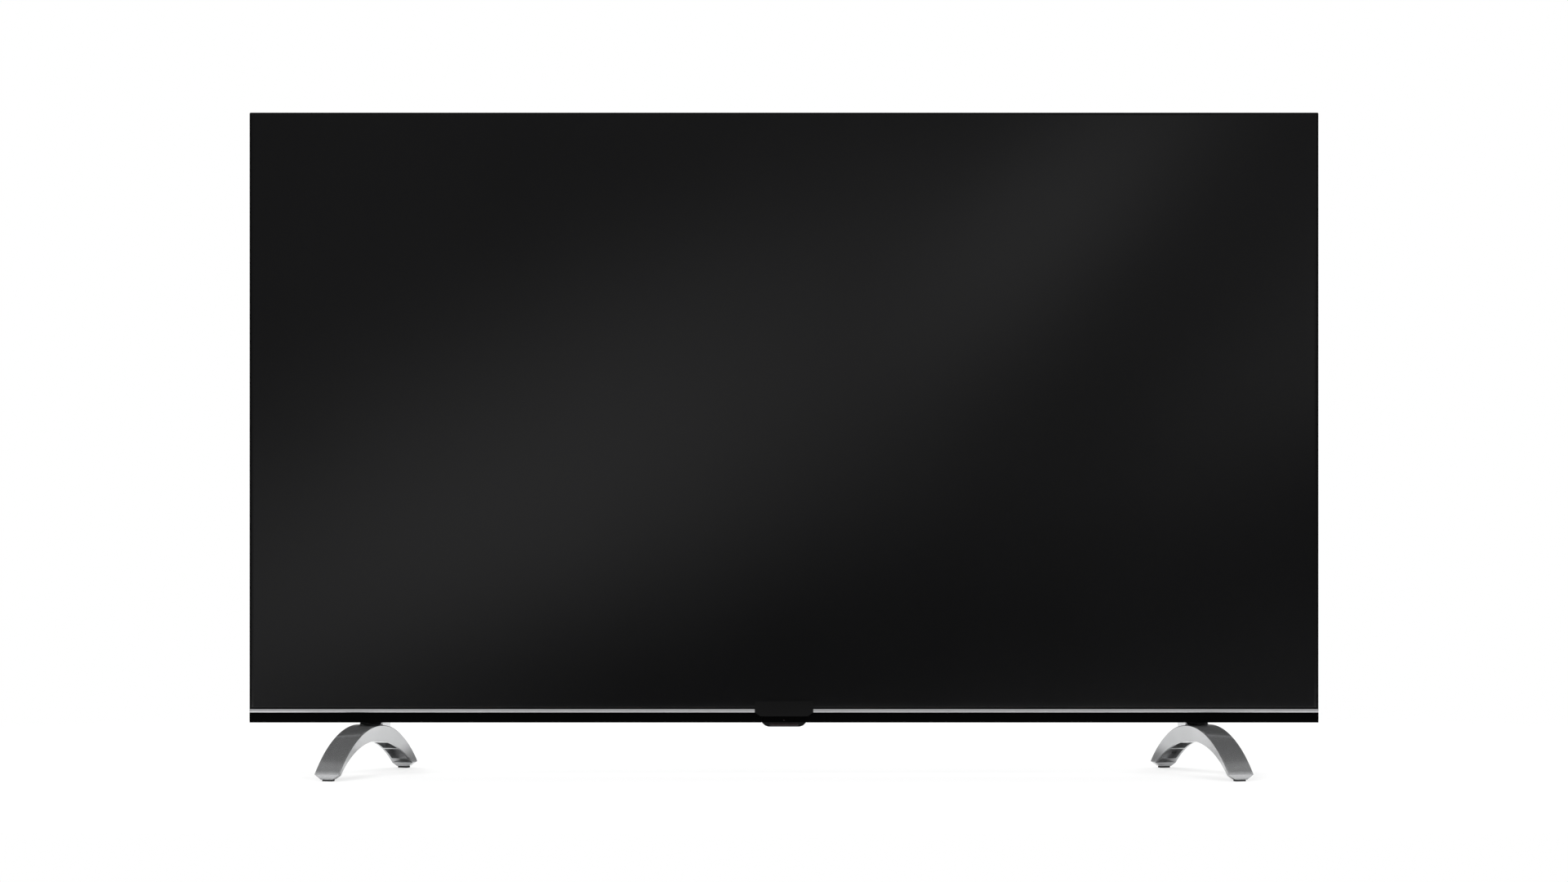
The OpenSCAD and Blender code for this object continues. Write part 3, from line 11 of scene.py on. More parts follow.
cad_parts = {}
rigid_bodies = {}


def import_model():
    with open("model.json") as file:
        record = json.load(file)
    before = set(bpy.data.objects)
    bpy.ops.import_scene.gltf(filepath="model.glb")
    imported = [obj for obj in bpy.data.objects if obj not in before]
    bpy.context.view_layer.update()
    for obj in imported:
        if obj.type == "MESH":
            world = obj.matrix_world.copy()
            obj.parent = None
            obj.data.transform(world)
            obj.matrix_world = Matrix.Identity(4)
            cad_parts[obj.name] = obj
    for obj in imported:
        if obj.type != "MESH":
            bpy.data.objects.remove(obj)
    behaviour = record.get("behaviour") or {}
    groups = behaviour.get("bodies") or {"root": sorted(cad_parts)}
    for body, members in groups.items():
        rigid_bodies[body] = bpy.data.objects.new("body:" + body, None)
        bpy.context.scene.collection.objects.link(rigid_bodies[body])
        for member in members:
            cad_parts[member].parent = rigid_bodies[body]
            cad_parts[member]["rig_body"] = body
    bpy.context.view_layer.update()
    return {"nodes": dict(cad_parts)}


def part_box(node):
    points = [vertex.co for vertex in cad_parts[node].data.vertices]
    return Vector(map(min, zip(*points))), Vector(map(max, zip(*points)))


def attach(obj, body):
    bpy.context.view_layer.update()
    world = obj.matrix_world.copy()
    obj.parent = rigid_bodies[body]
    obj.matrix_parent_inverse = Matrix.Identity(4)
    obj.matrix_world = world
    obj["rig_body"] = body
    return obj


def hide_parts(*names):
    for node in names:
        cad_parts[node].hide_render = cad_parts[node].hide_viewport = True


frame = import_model()
scene = bpy.context.scene
cad = frame["nodes"]
mm = 0.001

# Camera at the photograph's viewpoint: level, straight in front of the screen

CAMERA_PLACE = (0, -5.362, 0.3855)
CAMERA_LENS = 106.4
CAMERA_SENSOR = 36
CAMERA_REACH = 100
UPRIGHT = (math.pi / 2, 0, 0)

bpy.ops.object.camera_add(location=CAMERA_PLACE, rotation=UPRIGHT)
camera = bpy.context.object
camera.name = "front_camera"
camera.data.lens = CAMERA_LENS
camera.data.sensor_width = CAMERA_SENSOR
camera.data.clip_end = CAMERA_REACH
scene.camera = camera
scene.view_settings.view_transform = "Standard"


# Finishes

DRIFT_SIZE = 90 * mm
DULLING_SIZE = 20 * mm
LINE_DEPTH = 0.004 * mm


def add_node(tree, kind, **settings):
    """A new shader node of one kind, with its settings."""
    node = tree.nodes.new("ShaderNode" + kind)
    for setting, value in settings.items():
        setattr(node, setting, value)
    return node


class Finish:
    """A node material, with the few pattern nodes that the set's finishes share."""

    def __init__(self, name, colour, roughness, **sockets):
        self.material = bpy.data.materials.new(name)
        self.material.use_nodes = True
        self.material.diffuse_color = (*colour, 1)
        self.tree = self.material.node_tree
        self.shader = self.tree.nodes["Principled BSDF"]
        self.shader.inputs["Base Color"].default_value = (*colour, 1)
        self.shader.inputs["Roughness"].default_value = roughness
        for socket, value in sockets.items():
            self.shader.inputs[socket.replace("_", " ")].default_value = value
        self.place = self.add("TexCoord").outputs["Object"]

    def add(self, kind, **settings):
        return add_node(self.tree, kind, **settings)

    def link(self, output, target):
        self.tree.links.new(output, target)

    def stretched(self, stretch):
        """Place coordinates with each axis drawn out by its own factor."""
        mapping = self.add("Mapping", vector_type="TEXTURE")
        mapping.inputs["Scale"].default_value = stretch
        self.link(self.place, mapping.inputs["Vector"])
        return mapping.outputs["Vector"]

    def grain(self, size, detail=2, stretch=(1, 1, 1)):
        """Soft noise whose lumps are about one size across."""
        noise = self.add("TexNoise")
        noise.inputs["Scale"].default_value = 1 / size
        noise.inputs["Detail"].default_value = detail
        self.link(self.stretched(stretch), noise.inputs["Vector"])
        return noise.outputs["Fac"]

    def flakes(self, size):
        """Small cells, each with a shade of its own."""
        cells = self.add("TexVoronoi", feature="F1")
        cells.inputs["Scale"].default_value = 1 / size
        self.link(self.place, cells.inputs["Vector"])
        split = self.add("SeparateColor")
        self.link(cells.outputs["Color"], split.inputs["Color"])
        return split.outputs["Red"]

    def span(self, value, low, high, start=0.3, end=0.7):
        """A pattern's values between start and end, spread from low to high."""
        spread = self.add("MapRange")
        spread.inputs["From Min"].default_value = start
        spread.inputs["From Max"].default_value = end
        spread.inputs["To Min"].default_value = low
        spread.inputs["To Max"].default_value = high
        self.link(value, spread.inputs["Value"])
        return spread.outputs["Result"]

    def joined(self, one, two, operation="MULTIPLY"):
        """Two patterns multiplied, or joined by another operation."""
        math_node = self.add("Math", operation=operation)
        self.link(one, math_node.inputs[0])
        self.link(two, math_node.inputs[1])
        return math_node.outputs["Value"]

    def between(self, pattern, dark, light):
        """A colour between two, by a pattern that runs from 0 to 1."""
        mix = self.add("Mix", data_type="RGBA")
        colours = {"A_Color": dark, "B_Color": light}
        for socket in mix.inputs:
            if socket.identifier in colours:
                socket.default_value = (*colours[socket.identifier], 1)
        self.link(pattern, mix.inputs["Factor"])
        return [out for out in mix.outputs if out.identifier == "Result_Color"][0]

    def colour(self, pattern, dark, light):
        self.link(self.between(pattern, dark, light), self.shader.inputs["Base Color"])

    def roughness(self, pattern, low, high):
        self.link(self.span(pattern, low, high), self.shader.inputs["Roughness"])

    def relief(self, height, depth):
        bump = self.add("Bump")
        bump.inputs["Strength"].default_value = 1
        bump.inputs["Distance"].default_value = depth
        self.link(height, bump.inputs["Height"])
        self.link(bump.outputs["Normal"], self.shader.inputs["Normal"])


def shade(colour, factor):
    return tuple(channel * factor for channel in colour)


def moulded(name, colour, roughness, grain_size, grain_depth, spread=0.18, **sockets):
    """Moulded or painted surface: fine grain in relief, slow drift in colour and gloss."""
    made = Finish(name, colour, roughness, **sockets)
    fine = made.grain(grain_size, 3)
    drift = made.grain(DRIFT_SIZE, 3)
    made.colour(made.span(drift, 0, 1), shade(colour, 1 - spread), shade(colour, 1 + spread))
    made.roughness(drift, roughness * 0.9, min(1, roughness * 1.12))
    made.relief(fine, grain_depth)
    return made.material


def metal(name, colour, roughness, line_size, stretch=(1, 1, 1), spread=0.1):
    """Bare or plated metal: drawn-out fine lines, faint dulling in patches."""
    made = Finish(name, colour, roughness, Metallic=1)
    lines = made.grain(line_size, 2, stretch)
    dulling = made.grain(DULLING_SIZE, 3)
    made.colour(made.span(lines, 0, 1), shade(colour, 1 - spread), shade(colour, 1 + spread))
    made.roughness(dulling, roughness * 0.85, min(1, roughness * 1.25))
    made.relief(lines, LINE_DEPTH)
    return made.material


def screen_finish(name, colour, roughness):
    """Dark polariser with a soft haze: near-black, faintly uneven, very fine tooth."""
    made = Finish(name, colour, roughness, Specular_IOR_Level=0.5)
    drift = made.grain(250 * mm, 2)
    tooth = made.grain(0.5 * mm, 1)
    made.colour(made.span(drift, 0, 1), shade(colour, 0.85), shade(colour, 1.15))
    made.roughness(drift, roughness * 0.94, roughness * 1.06)
    made.relief(tooth, 0.0006 * mm)
    return made.material


def silver_lacquer():
    """Satin silver lacquer with metal flake under a thin clear coat."""
    colour = (0.468, 0.473, 0.48)
    made = Finish("foot_silver_lacquer", colour, 0.19, Metallic=0.86, Coat_Weight=0.1, Coat_Roughness=0.1)
    flake = made.flakes(0.5 * mm)
    drift = made.grain(30 * mm, 3)
    flecks = made.span(flake, 0.35, 0.65, start=0, end=1)
    shades = made.joined(flecks, made.span(drift, -0.12, 0.12), "ADD")
    made.colour(shades, shade(colour, 0.86), shade(colour, 1.14))
    made.roughness(drift, 0.17, 0.21)
    made.relief(made.grain(0.6 * mm, 2), 0.002 * mm)
    return made.material


def circuit_board_finish(name, mask, copper):
    """Solder mask over a net of copper tracks."""
    made = Finish(name, mask, 0.4, Coat_Weight=0.3)
    tracks = made.add("TexBrick")
    tracks.inputs["Scale"].default_value = 260
    tracks.inputs["Mortar Size"].default_value = 0.018
    tracks.inputs["Brick Width"].default_value = 1.7
    tracks.inputs["Row Height"].default_value = 0.42
    turned = made.add("Mapping")
    turned.inputs["Rotation"].default_value = UPRIGHT
    made.link(made.place, turned.inputs["Vector"])
    made.link(turned.outputs["Vector"], tracks.inputs["Vector"])
    wander = made.grain(6 * mm, 2)
    made.colour(made.joined(tracks.outputs["Fac"], made.span(wander, 0, 1)), mask, copper)
    made.roughness(wander, 0.32, 0.5)
    made.relief(tracks.outputs["Fac"], 0.02 * mm)
    return made.material


FRAME_BLACK = moulded("frame_satin_black", (0.003, 0.003, 0.0032), 0.45, 0.35 * mm, 0.004 * mm,
    Specular_IOR_Level=0.1)
SCREEN = screen_finish("screen_polariser", (0.0022, 0.0022, 0.0024), 0.09)
SCREEN_EDGE = screen_finish("screen_black_border", (0.001, 0.001, 0.0011), 0.16)
FOAM = moulded("foam_tape", (0.02, 0.02, 0.02), 0.9, 0.4 * mm, 0.05 * mm)
FILM = moulded("milk_film", (0.82, 0.83, 0.83), 0.35, 0.3 * mm, 0.004 * mm, 0.03)
LAMP_BOARD = moulded("lamp_strip_mask", (0.8, 0.78, 0.7), 0.4, 0.8 * mm, 0.01 * mm, 0.04)
LENS = moulded("lens_acrylic", (0.85, 0.88, 0.9), 0.12, 1.5 * mm, 0.003 * mm, 0.03, Transmission_Weight=0.7)
STEEL_BACK = moulded("steel_back_coat", (0.034, 0.034, 0.0355), 0.42, 0.9 * mm, 0.012 * mm, 0.12,
    Specular_IOR_Level=0.4)
BOARD_GREEN = circuit_board_finish("board_green_mask", (0.012, 0.075, 0.03), (0.06, 0.2, 0.08))
FILM_AMBER = moulded("driver_film_amber", (0.07, 0.026, 0.006), 0.3, 0.6 * mm, 0.006 * mm)
BAR_BLACK = moulded("bar_deep_black", (0.0003, 0.0003, 0.00035), 0.36, 0.5 * mm, 0.001 * mm, 0.15,
    Specular_IOR_Level=0.02)
TRIM_SILVER = metal("trim_brushed_silver", (0.45, 0.45, 0.46), 0.34, 0.25 * mm, (60, 1, 1), 0.05)
PLATE_BLACK = moulded("sensor_plate_black", (0.0012, 0.0012, 0.0013), 0.24, 0.5 * mm, 0.001 * mm,
    Specular_IOR_Level=0.16)
SMOKE = moulded("standby_smoke", (0.003, 0.0012, 0.0012), 0.2, 1 * mm, 0.001 * mm, Specular_IOR_Level=0.2)
WINDOW = moulded("infrared_window", (0.006, 0.0015, 0.002), 0.12, 2 * mm, 0.002 * mm, 0.1)
REAR_BLACK = moulded("rear_spark_texture", (0.02, 0.02, 0.021), 0.52, 0.7 * mm, 0.08 * mm, 0.2,
    Specular_IOR_Level=0.28)
SCREW_DARK = metal("screw_black_zinc", (0.07, 0.07, 0.075), 0.36, 0.3 * mm)
SINK = metal("sink_aluminium", (0.5, 0.51, 0.53), 0.4, 0.3 * mm, (1, 1, 40))
SOCKET_METAL = metal("socket_tin_plate", (0.62, 0.63, 0.64), 0.24, 0.4 * mm, (12, 1, 1))
SOCKET_BLACK = moulded("socket_black_nylon", (0.012, 0.012, 0.0125), 0.45, 0.4 * mm, 0.01 * mm)
PART_BROWN = moulded("wound_part_brown", (0.07, 0.05, 0.035), 0.5, 0.6 * mm, 0.04 * mm, 0.3)
PIN_METAL = metal("pin_nickel", (0.66, 0.64, 0.58), 0.22, 0.3 * mm)
CONTACT_GOLD = metal("contact_gold_plate", (0.78, 0.56, 0.2), 0.2, 0.3 * mm)
BRASS = metal("standoff_brass", (0.62, 0.46, 0.19), 0.28, 0.2 * mm, (1, 12, 1))
SCREW_BRIGHT = metal("screw_bright_zinc", (0.62, 0.63, 0.66), 0.28, 0.2 * mm)
BOSS_STEEL = metal("boss_zinc_steel", (0.5, 0.51, 0.53), 0.3, 0.2 * mm, (1, 14, 1))
RIBBON = moulded("ribbon_white", (0.75, 0.75, 0.72), 0.4, 1 * mm, 0.02 * mm, 0.05)
LEAD_RED = moulded("lead_red_sleeve", (0.24, 0.016, 0.016), 0.4, 0.5 * mm, 0.01 * mm)
MAGNET = moulded("magnet_ferrite", (0.04, 0.04, 0.043), 0.5, 0.5 * mm, 0.03 * mm)
CONE_GREY = moulded("cone_paper", (0.05, 0.05, 0.053), 0.8, 0.5 * mm, 0.06 * mm, 0.25)
RUBBER = moulded("pad_rubber", (0.013, 0.013, 0.013), 0.75, 0.5 * mm, 0.03 * mm)
FOOT_SILVER = silver_lacquer()
STICK_BLACK = moulded("stick_soft_black", (0.015, 0.015, 0.0155), 0.52, 0.4 * mm, 0.012 * mm)

NODE_FINISH = {
    "mid_frame": FRAME_BLACK, "lcd_panel": SCREEN, "panel_tape": FOAM, "prism_film": FILM,
    "spread_film": FILM, "diffuser_plate": FILM, "reflector_sheet": FILM, "lamp_strips": LAMP_BOARD,
    "lamp_lenses": LENS, "diffuser_posts": FILM, "back_tray": STEEL_BACK, "source_boards": BOARD_GREEN,
    "driver_films": FILM_AMBER, "bottom_bar": BAR_BLACK, "left_trim": TRIM_SILVER,
    "right_trim": TRIM_SILVER, "sensor_housing": PLATE_BLACK, "infrared_window": WINDOW,
    "standby_light": SMOKE, "sensor_board": BOARD_GREEN, "rear_cover": REAR_BLACK,
    "cover_screws": SCREW_DARK, "terminal_plate": SOCKET_BLACK, "main_board": BOARD_GREEN,
    "heat_sink": SINK, "hdmi_sockets": SOCKET_METAL, "usb_sockets": SOCKET_METAL,
    "card_slot": SOCKET_BLACK, "lan_socket": SOCKET_METAL, "aerial_sockets": SOCKET_METAL,
    "headphone_jack": SOCKET_BLACK, "power_board": BOARD_GREEN, "transformers": PART_BROWN,
    "capacitors": PART_BROWN, "power_heat_sinks": SINK, "mains_inlet": SOCKET_BLACK,
    "inlet_pins": PIN_METAL, "board_standoffs": BRASS, "board_screws": SCREW_BRIGHT,
    "wall_mount_bosses": BOSS_STEEL, "panel_ribbon": RIBBON, "lamp_harness": RIBBON,
    "speaker_leads": LEAD_RED, "speaker_boxes": SOCKET_BLACK, "speaker_frames": MAGNET,
    "speaker_magnets": MAGNET, "left_cone": CONE_GREY, "right_cone": CONE_GREY,
    "left_surround": RUBBER, "right_surround": RUBBER, "left_foot": FOOT_SILVER,
    "right_foot": FOOT_SILVER, "foot_pads": RUBBER, "foot_brackets": BOSS_STEEL,
    "foot_screws": SCREW_DARK, "key_board": BOARD_GREEN, "stick_switch": SOCKET_BLACK,
    "stick_plunger": RIBBON, "stick_gimbal": SCREW_BRIGHT, "control_stick": STICK_BLACK,
}

for node, finish in NODE_FINISH.items():
    for place in cad[node].material_slots:
        place.material = finish


# Pieces

TOUCH = 0.1 * mm
SAME_POINT = 0.002 * mm
SAME_FACE = math.radians(0.3)


def only(piece):
    """Selects one piece and makes it the active one."""
    bpy.ops.object.select_all(action="DESELECT")
    piece.select_set(True)
    bpy.context.view_layer.objects.active = piece


def apply_modifier(piece, kind, **settings):
    only(piece)
    modifier = piece.modifiers.new(kind.lower(), kind)
    for setting, value in settings.items():
        setattr(modifier, setting, value)
    bpy.ops.object.modifier_apply(modifier=modifier.name)


def soften(piece, width, segments=2, corner=35, smooth=40):
    """Bevels every sharp edge, then smooths the shading across the soft ones."""
    apply_modifier(
        piece, "BEVEL", width=width, segments=segments, limit_method="ANGLE",
        angle_limit=math.radians(corner), use_clamp_overlap=True, miter_outer="MITER_ARC",
    )
    only(piece)
    bpy.ops.object.shade_smooth_by_angle(angle=math.radians(smooth))
    apply_modifier(piece, "WEIGHTED_NORMAL", keep_sharp=True, weight=60)


def body_of(node):
    return cad[node]["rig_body"]


def stand_for(piece, node):
    """Gives a piece a CAD node's finish and body, and puts it in the node's place."""
    piece.data.materials.clear()
    piece.data.materials.append(NODE_FINISH[node])
    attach(piece, body_of(node))
    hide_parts(node)


def merged_copy(node, name, split=False):
    """A copy of a CAD node with its loose triangles joined into faces, split where holes pierce them."""
    piece = bpy.data.objects.new(name, cad[node].data.copy())
    scene.collection.objects.link(piece)
    only(piece)
    bpy.ops.mesh.customdata_custom_splitnormals_clear()
    bpy.ops.object.mode_set(mode="EDIT")
    bpy.ops.mesh.select_all(action="SELECT")
    bpy.ops.mesh.remove_doubles(threshold=SAME_POINT)
    bpy.ops.mesh.dissolve_limited(angle_limit=SAME_FACE)
    if split:
        bpy.ops.mesh.vert_connect_concave()
    bpy.ops.object.mode_set(mode="OBJECT")
    return piece


def dressed(node, name, width, split=False, **edges):
    """A CAD node with softened edges and its finish, which stands for the node; edges goes on to soften."""
    piece = merged_copy(node, name, split)
    soften(piece, width, **edges)
    stand_for(piece, node)
    return piece


def block(name, size, place):
    """A plain block at its size and place, to be shaped further."""
    bpy.ops.object.select_all(action="DESELECT")
    bpy.ops.mesh.primitive_cube_add(size=1, location=place)
    piece = bpy.context.object
    piece.name = name
    piece.scale = size
    bpy.ops.object.transform_apply(location=True, rotation=True, scale=True)
    return piece


def cut_across(piece, place, normal):
    """Cuts a piece's faces along a plane, and keeps both sides."""
    only(piece)
    bpy.ops.object.mode_set(mode="EDIT")
    bpy.ops.mesh.select_all(action="SELECT")
    bpy.ops.mesh.bisect(plane_co=place, plane_no=normal)
    bpy.ops.object.mode_set(mode="OBJECT")


def two_tone(piece, finish, chosen):
    """Gives a second finish to the faces whose middle a test chooses."""
    piece.data.materials.append(finish)
    for face in piece.data.polygons:
        face.material_index = 1 if chosen(face.center) else 0


dressed("mid_frame", "screen_frame", 0.3 * mm)
dressed("bottom_bar", "lower_bar", 0.35 * mm, segments=3)
dressed("left_trim", "silver_strip_left", 0.2 * mm, corner=50, smooth=50)
dressed("right_trim", "silver_strip_right", 0.2 * mm, corner=50, smooth=50)
dressed("infrared_window", "infrared_lens", 0.2 * mm)
dressed("left_foot", "arched_foot_left", 0.8 * mm, segments=3, corner=30)
dressed("right_foot", "arched_foot_right", 0.8 * mm, segments=3, corner=30)
dressed("foot_pads", "toe_pads", 0.3 * mm)
dressed("back_tray", "steel_back", 0.4 * mm)
dressed("cover_screws", "cover_screw_heads", 0.15 * mm)
dressed("wall_mount_bosses", "wall_bosses", 0.3 * mm)
dressed("terminal_plate", "socket_plate", 0.2 * mm, split=True)
dressed("card_slot", "card_slot_case", 0.2 * mm)
dressed("headphone_jack", "headphone_socket", 0.15 * mm)
dressed("mains_inlet", "mains_socket", 0.3 * mm)


# Back cover: broad soft corners outside, crisp vents and wells

COVER_CORNER = 3.2 * mm
COVER_DEPTH = 20 * mm
COVER_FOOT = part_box("rear_cover")[0].z
HUMP_SHOULDER = 480 * mm
HUMP_HALF = 330 * mm
SHORTEST_CORNER = 5 * mm
GENTLE_LEAST = math.radians(15)
GENTLE_MOST = math.radians(80)
SQUARE_SLACK = 0.1
TURNED_IN = -0.1
FLAT_BACK = 0.95


def is_outer_corner(edge):
    """True on the cover's outer corners, and false on vents, wells, sockets and inner corners."""
    faces = edge.link_faces
    if len(faces) != 2 or edge.calc_length() < SHORTEST_CORNER:
        return False
    ends = [corner.co for corner in edge.verts]
    middle = (ends[0] + ends[1]) / 2
    hump_side = middle.z < HUMP_SHOULDER and all(abs(abs(end.x) - HUMP_HALF) < TOUCH for end in ends)
    underside = all(end.z < COVER_FOOT + 2 * TOUCH for end in ends)
    if hump_side or underside:
        return False
    lean = edge.calc_face_angle_signed(0)
    facing_out = all(face.normal.y > TURNED_IN for face in faces)
    gentle = GENTLE_LEAST < lean < GENTLE_MOST
    shoulder = abs(lean - math.pi / 2) < SQUARE_SLACK and middle.z > HUMP_SHOULDER
    plain = not any(face.normal.y > FLAT_BACK for face in faces)
    return facing_out and middle.y > COVER_DEPTH and (gentle or (shoulder and plain))


def back_cover():
    piece = merged_copy("rear_cover", "back_cover", split=True)
    bpy.ops.object.mode_set(mode="EDIT")
    bpy.ops.mesh.select_mode(type="EDGE")
    bpy.ops.mesh.select_all(action="DESELECT")
    shape = bmesh.from_edit_mesh(piece.data)
    for edge in shape.edges:
        edge.select_set(is_outer_corner(edge))
    bmesh.update_edit_mesh(piece.data)
    bpy.ops.mesh.bevel(offset=COVER_CORNER, segments=5, affect="EDGES", clamp_overlap=False)
    bpy.ops.object.mode_set(mode="OBJECT")
    soften(piece, 0.4 * mm)
    stand_for(piece, "rear_cover")


back_cover()


# Sensor housing: a glossy plate over the bar, a band under it in the bar's dull deep black, and a glossy
# chin. The band's darker finish also paints in the shade under the plate's edge.

BAND_TOP = 68.3 * mm
BAND_FOOT = 61.3 * mm


def sensor_chin():
    piece = merged_copy("sensor_housing", "sensor_chin")
    for height in (BAND_TOP, BAND_FOOT):
        cut_across(piece, (0, 0, height), (0, 0, 1))
    soften(piece, 0.4 * mm, segments=3)
    stand_for(piece, "sensor_housing")
    # Painted shade: the band under the plate gets the bar's darker, duller black, which also stands in for
    # the shade that falls under the plate
    two_tone(piece, BAR_BLACK, lambda place: BAND_FOOT < place.z < BAND_TOP)


sensor_chin()


# Sockets: dark tongues in bright shells, gold contacts and a threaded satellite barrel

CONTACT_LENGTH = 7.6 * mm
CONTACT_RISE = 0.16 * mm
CONTACT_BACK = 2.4 * mm
TONGUE_BACK = 1.9 * mm
FACE_SLACK = 0.05 * mm
BAR_SOFTNESS = 0.3


def small_bar(name, size, place):
    """A thin bar with softened edges."""
    bar = block(name, size, place)
    bpy.ops.object.mode_set(mode="EDIT")
    bpy.ops.mesh.bevel(offset=min(size) * BAR_SOFTNESS, segments=2, affect="EDGES")
    bpy.ops.object.mode_set(mode="OBJECT")
    return bar


def contact_row(bar, node, name, offsets):
    """Copies of one bar at several offsets, joined into one gold piece that rides with its socket."""
    copies = []
    for offset in offsets:
        data = bar.data.copy()
        data.transform(Matrix.Translation(offset))
        copy = bpy.data.objects.new(name, data)
        scene.collection.objects.link(copy)
        copies.append(copy)
    bpy.data.objects.remove(bar)
    only(copies[0])
    for copy in copies:
        copy.select_set(True)
    bpy.ops.object.join()
    piece = copies[0]
    piece.name = name
    piece.data.materials.append(CONTACT_GOLD)
    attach(piece, body_of(node))


def spread_out(count, pitch):
    """Evenly spaced places about zero."""
    return [(i - (count - 1) / 2) * pitch for i in range(count)]


def shell_socket(node, name, count, shell_width, tongue_at, tongue, contact_width, rows):
    """Bright shells with dark tongues; rows says on which side of a tongue its contacts lie, and where."""
    low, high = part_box(node)
    middle = (low.y + high.y) / 2 + tongue_at
    centre = (low.z + high.z) / 2
    pitch = (high.z - low.z - shell_width) / (count - 1)
    heights = [centre + z for z in spread_out(count, pitch)]
    tongue_width, tongue_depth = tongue

    def on_tongue(place):
        across = min(abs(place.z - height) for height in heights) < tongue_width / 2 + FACE_SLACK
        within = abs(place.y - middle) < tongue_depth / 2 + FACE_SLACK
        return across and within and place.x < high.x - TONGUE_BACK

    piece = dressed(node, name, 0.1 * mm)
    two_tone(piece, SOCKET_BLACK, on_tongue)
    out = high.x - CONTACT_BACK - CONTACT_LENGTH / 2
    bar = small_bar(name + "_contact", (CONTACT_LENGTH, CONTACT_RISE, contact_width), (out, middle, 0))
    offsets = [
        Vector((0, side * tongue_depth / 2, height + z))
        for height in heights for side, places in rows for z in places
    ]
    contact_row(bar, node, name + "_contacts", offsets)


shell_socket(
    "hdmi_sockets", "video_sockets", count=3, shell_width=15.2 * mm,
    tongue_at=0.4 * mm, tongue=(11 * mm, 1.4 * mm), contact_width=0.45 * mm,
    rows=((1, spread_out(10, 1 * mm)), (-1, spread_out(9, 1 * mm))),
)
shell_socket(
    "usb_sockets", "data_sockets", count=2, shell_width=14.2 * mm,
    tongue_at=1.4 * mm, tongue=(11.2 * mm, 2 * mm), contact_width=1.1 * mm,
    rows=((-1, (-3.5 * mm, -1 * mm, 1 * mm, 3.5 * mm)),),
)

SHELL_WALL = 0.6 * mm
WIRE_SIZE = (9.6 * mm, 0.4 * mm, 0.45 * mm)
WIRE_SLOPE = math.radians(16)
WIRE_BACK = 8.4 * mm
WIRE_RISE = 10 * mm
WIRE_PITCH = 1.02 * mm


def network_socket():
    """A bright shell, dark inside, with eight sprung wires that slope down from its roof."""
    low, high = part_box("lan_socket")

    def is_inside(place):
        return all(low[i] + SHELL_WALL < place[i] < high[i] - SHELL_WALL for i in range(3))

    piece = dressed("lan_socket", "network_socket", 0.2 * mm)
    two_tone(piece, SOCKET_BLACK, is_inside)
    bar = small_bar("network_wire", WIRE_SIZE, (0, 0, 0))
    bar.data.transform(Matrix.Rotation(WIRE_SLOPE, 4, "Z"))
    start = Vector((high.x - WIRE_BACK, low.y + WIRE_RISE, (low.z + high.z) / 2))
    offsets = [start + Vector((0, 0, z)) for z in spread_out(8, WIRE_PITCH)]
    contact_row(bar, "lan_socket", "network_contacts", offsets)


BARREL_RISE = 7 * mm
BARREL_UP = 9 * mm
BARREL_OUT = 10 * mm
BARREL_R = 4.76 * mm
THREAD_ROOT = 4.34 * mm
THREAD_TOOTH = 0.39 * mm
THREAD_START = 1.2 * mm
THREAD_PITCH = 0.8 * mm
THREAD_TURNS = 10
THREAD_STEPS = 28


def barrel_axis():
    """The point where the satellite barrel leaves its block, on the barrel's axis."""
    low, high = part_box("aerial_sockets")
    return Vector((high.x - BARREL_OUT, low.y + BARREL_RISE, low.z + BARREL_UP))


def aerial_barrels():
    """The aerial block, with the satellite barrel drawn in to the root of its thread."""
    piece = merged_copy("aerial_sockets", "aerial_barrels")
    axis = barrel_axis()
    bpy.ops.object.mode_set(mode="EDIT")
    bpy.ops.mesh.select_mode(type="VERT")
    bpy.ops.mesh.select_all(action="DESELECT")
    shape = bmesh.from_edit_mesh(piece.data)
    for corner in shape.verts:
        radius = math.hypot(corner.co.y - axis.y, corner.co.z - axis.z)
        corner.select_set(corner.co.x > axis.x - TOUCH and abs(radius - BARREL_R) < TOUCH)
    shape.select_flush(True)
    bmesh.update_edit_mesh(piece.data)
    shrink = THREAD_ROOT / BARREL_R
    bpy.ops.transform.resize(value=(1, shrink, shrink), center_override=axis)
    bpy.ops.object.mode_set(mode="OBJECT")
    soften(piece, 0.2 * mm)
    stand_for(piece, "aerial_sockets")


def satellite_thread():
    """One triangular tooth, wound round the barrel as a screw thread."""
    bpy.ops.object.select_all(action="DESELECT")
    bpy.ops.mesh.primitive_circle_add(
        vertices=3, radius=THREAD_TOOTH, location=barrel_axis() + Vector((THREAD_START, 0, 0)),
        rotation=UPRIGHT,
    )
    piece = bpy.context.object
    piece.name = "satellite_thread"
    bpy.ops.object.transform_apply(location=False, rotation=True, scale=True)
    piece.data.transform(Matrix.Translation((0, 0, THREAD_ROOT)))
    apply_modifier(
        piece, "SCREW", axis="X", screw_offset=THREAD_PITCH, iterations=THREAD_TURNS,
        steps=THREAD_STEPS, render_steps=THREAD_STEPS, use_merge_vertices=False,
    )
    bpy.ops.object.transform_apply(location=True, rotation=True, scale=True)
    bpy.ops.object.mode_set(mode="EDIT")
    bpy.ops.mesh.select_all(action="SELECT")
    bpy.ops.mesh.fill_holes(sides=0)
    bpy.ops.mesh.select_all(action="SELECT")
    bpy.ops.mesh.normals_make_consistent(inside=False)
    bpy.ops.object.mode_set(mode="OBJECT")
    piece.data.materials.append(SOCKET_METAL)
    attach(piece, body_of("aerial_sockets"))


network_socket()
aerial_barrels()
satellite_thread()


# Control stick: a dished knob with flutes round its grip

FLUTE_DEPTH = 0.3 * mm
FLUTE_RIM = 0.06 * mm
GRIP_SHARE = 0.98
SIDEWAYS = 0.1


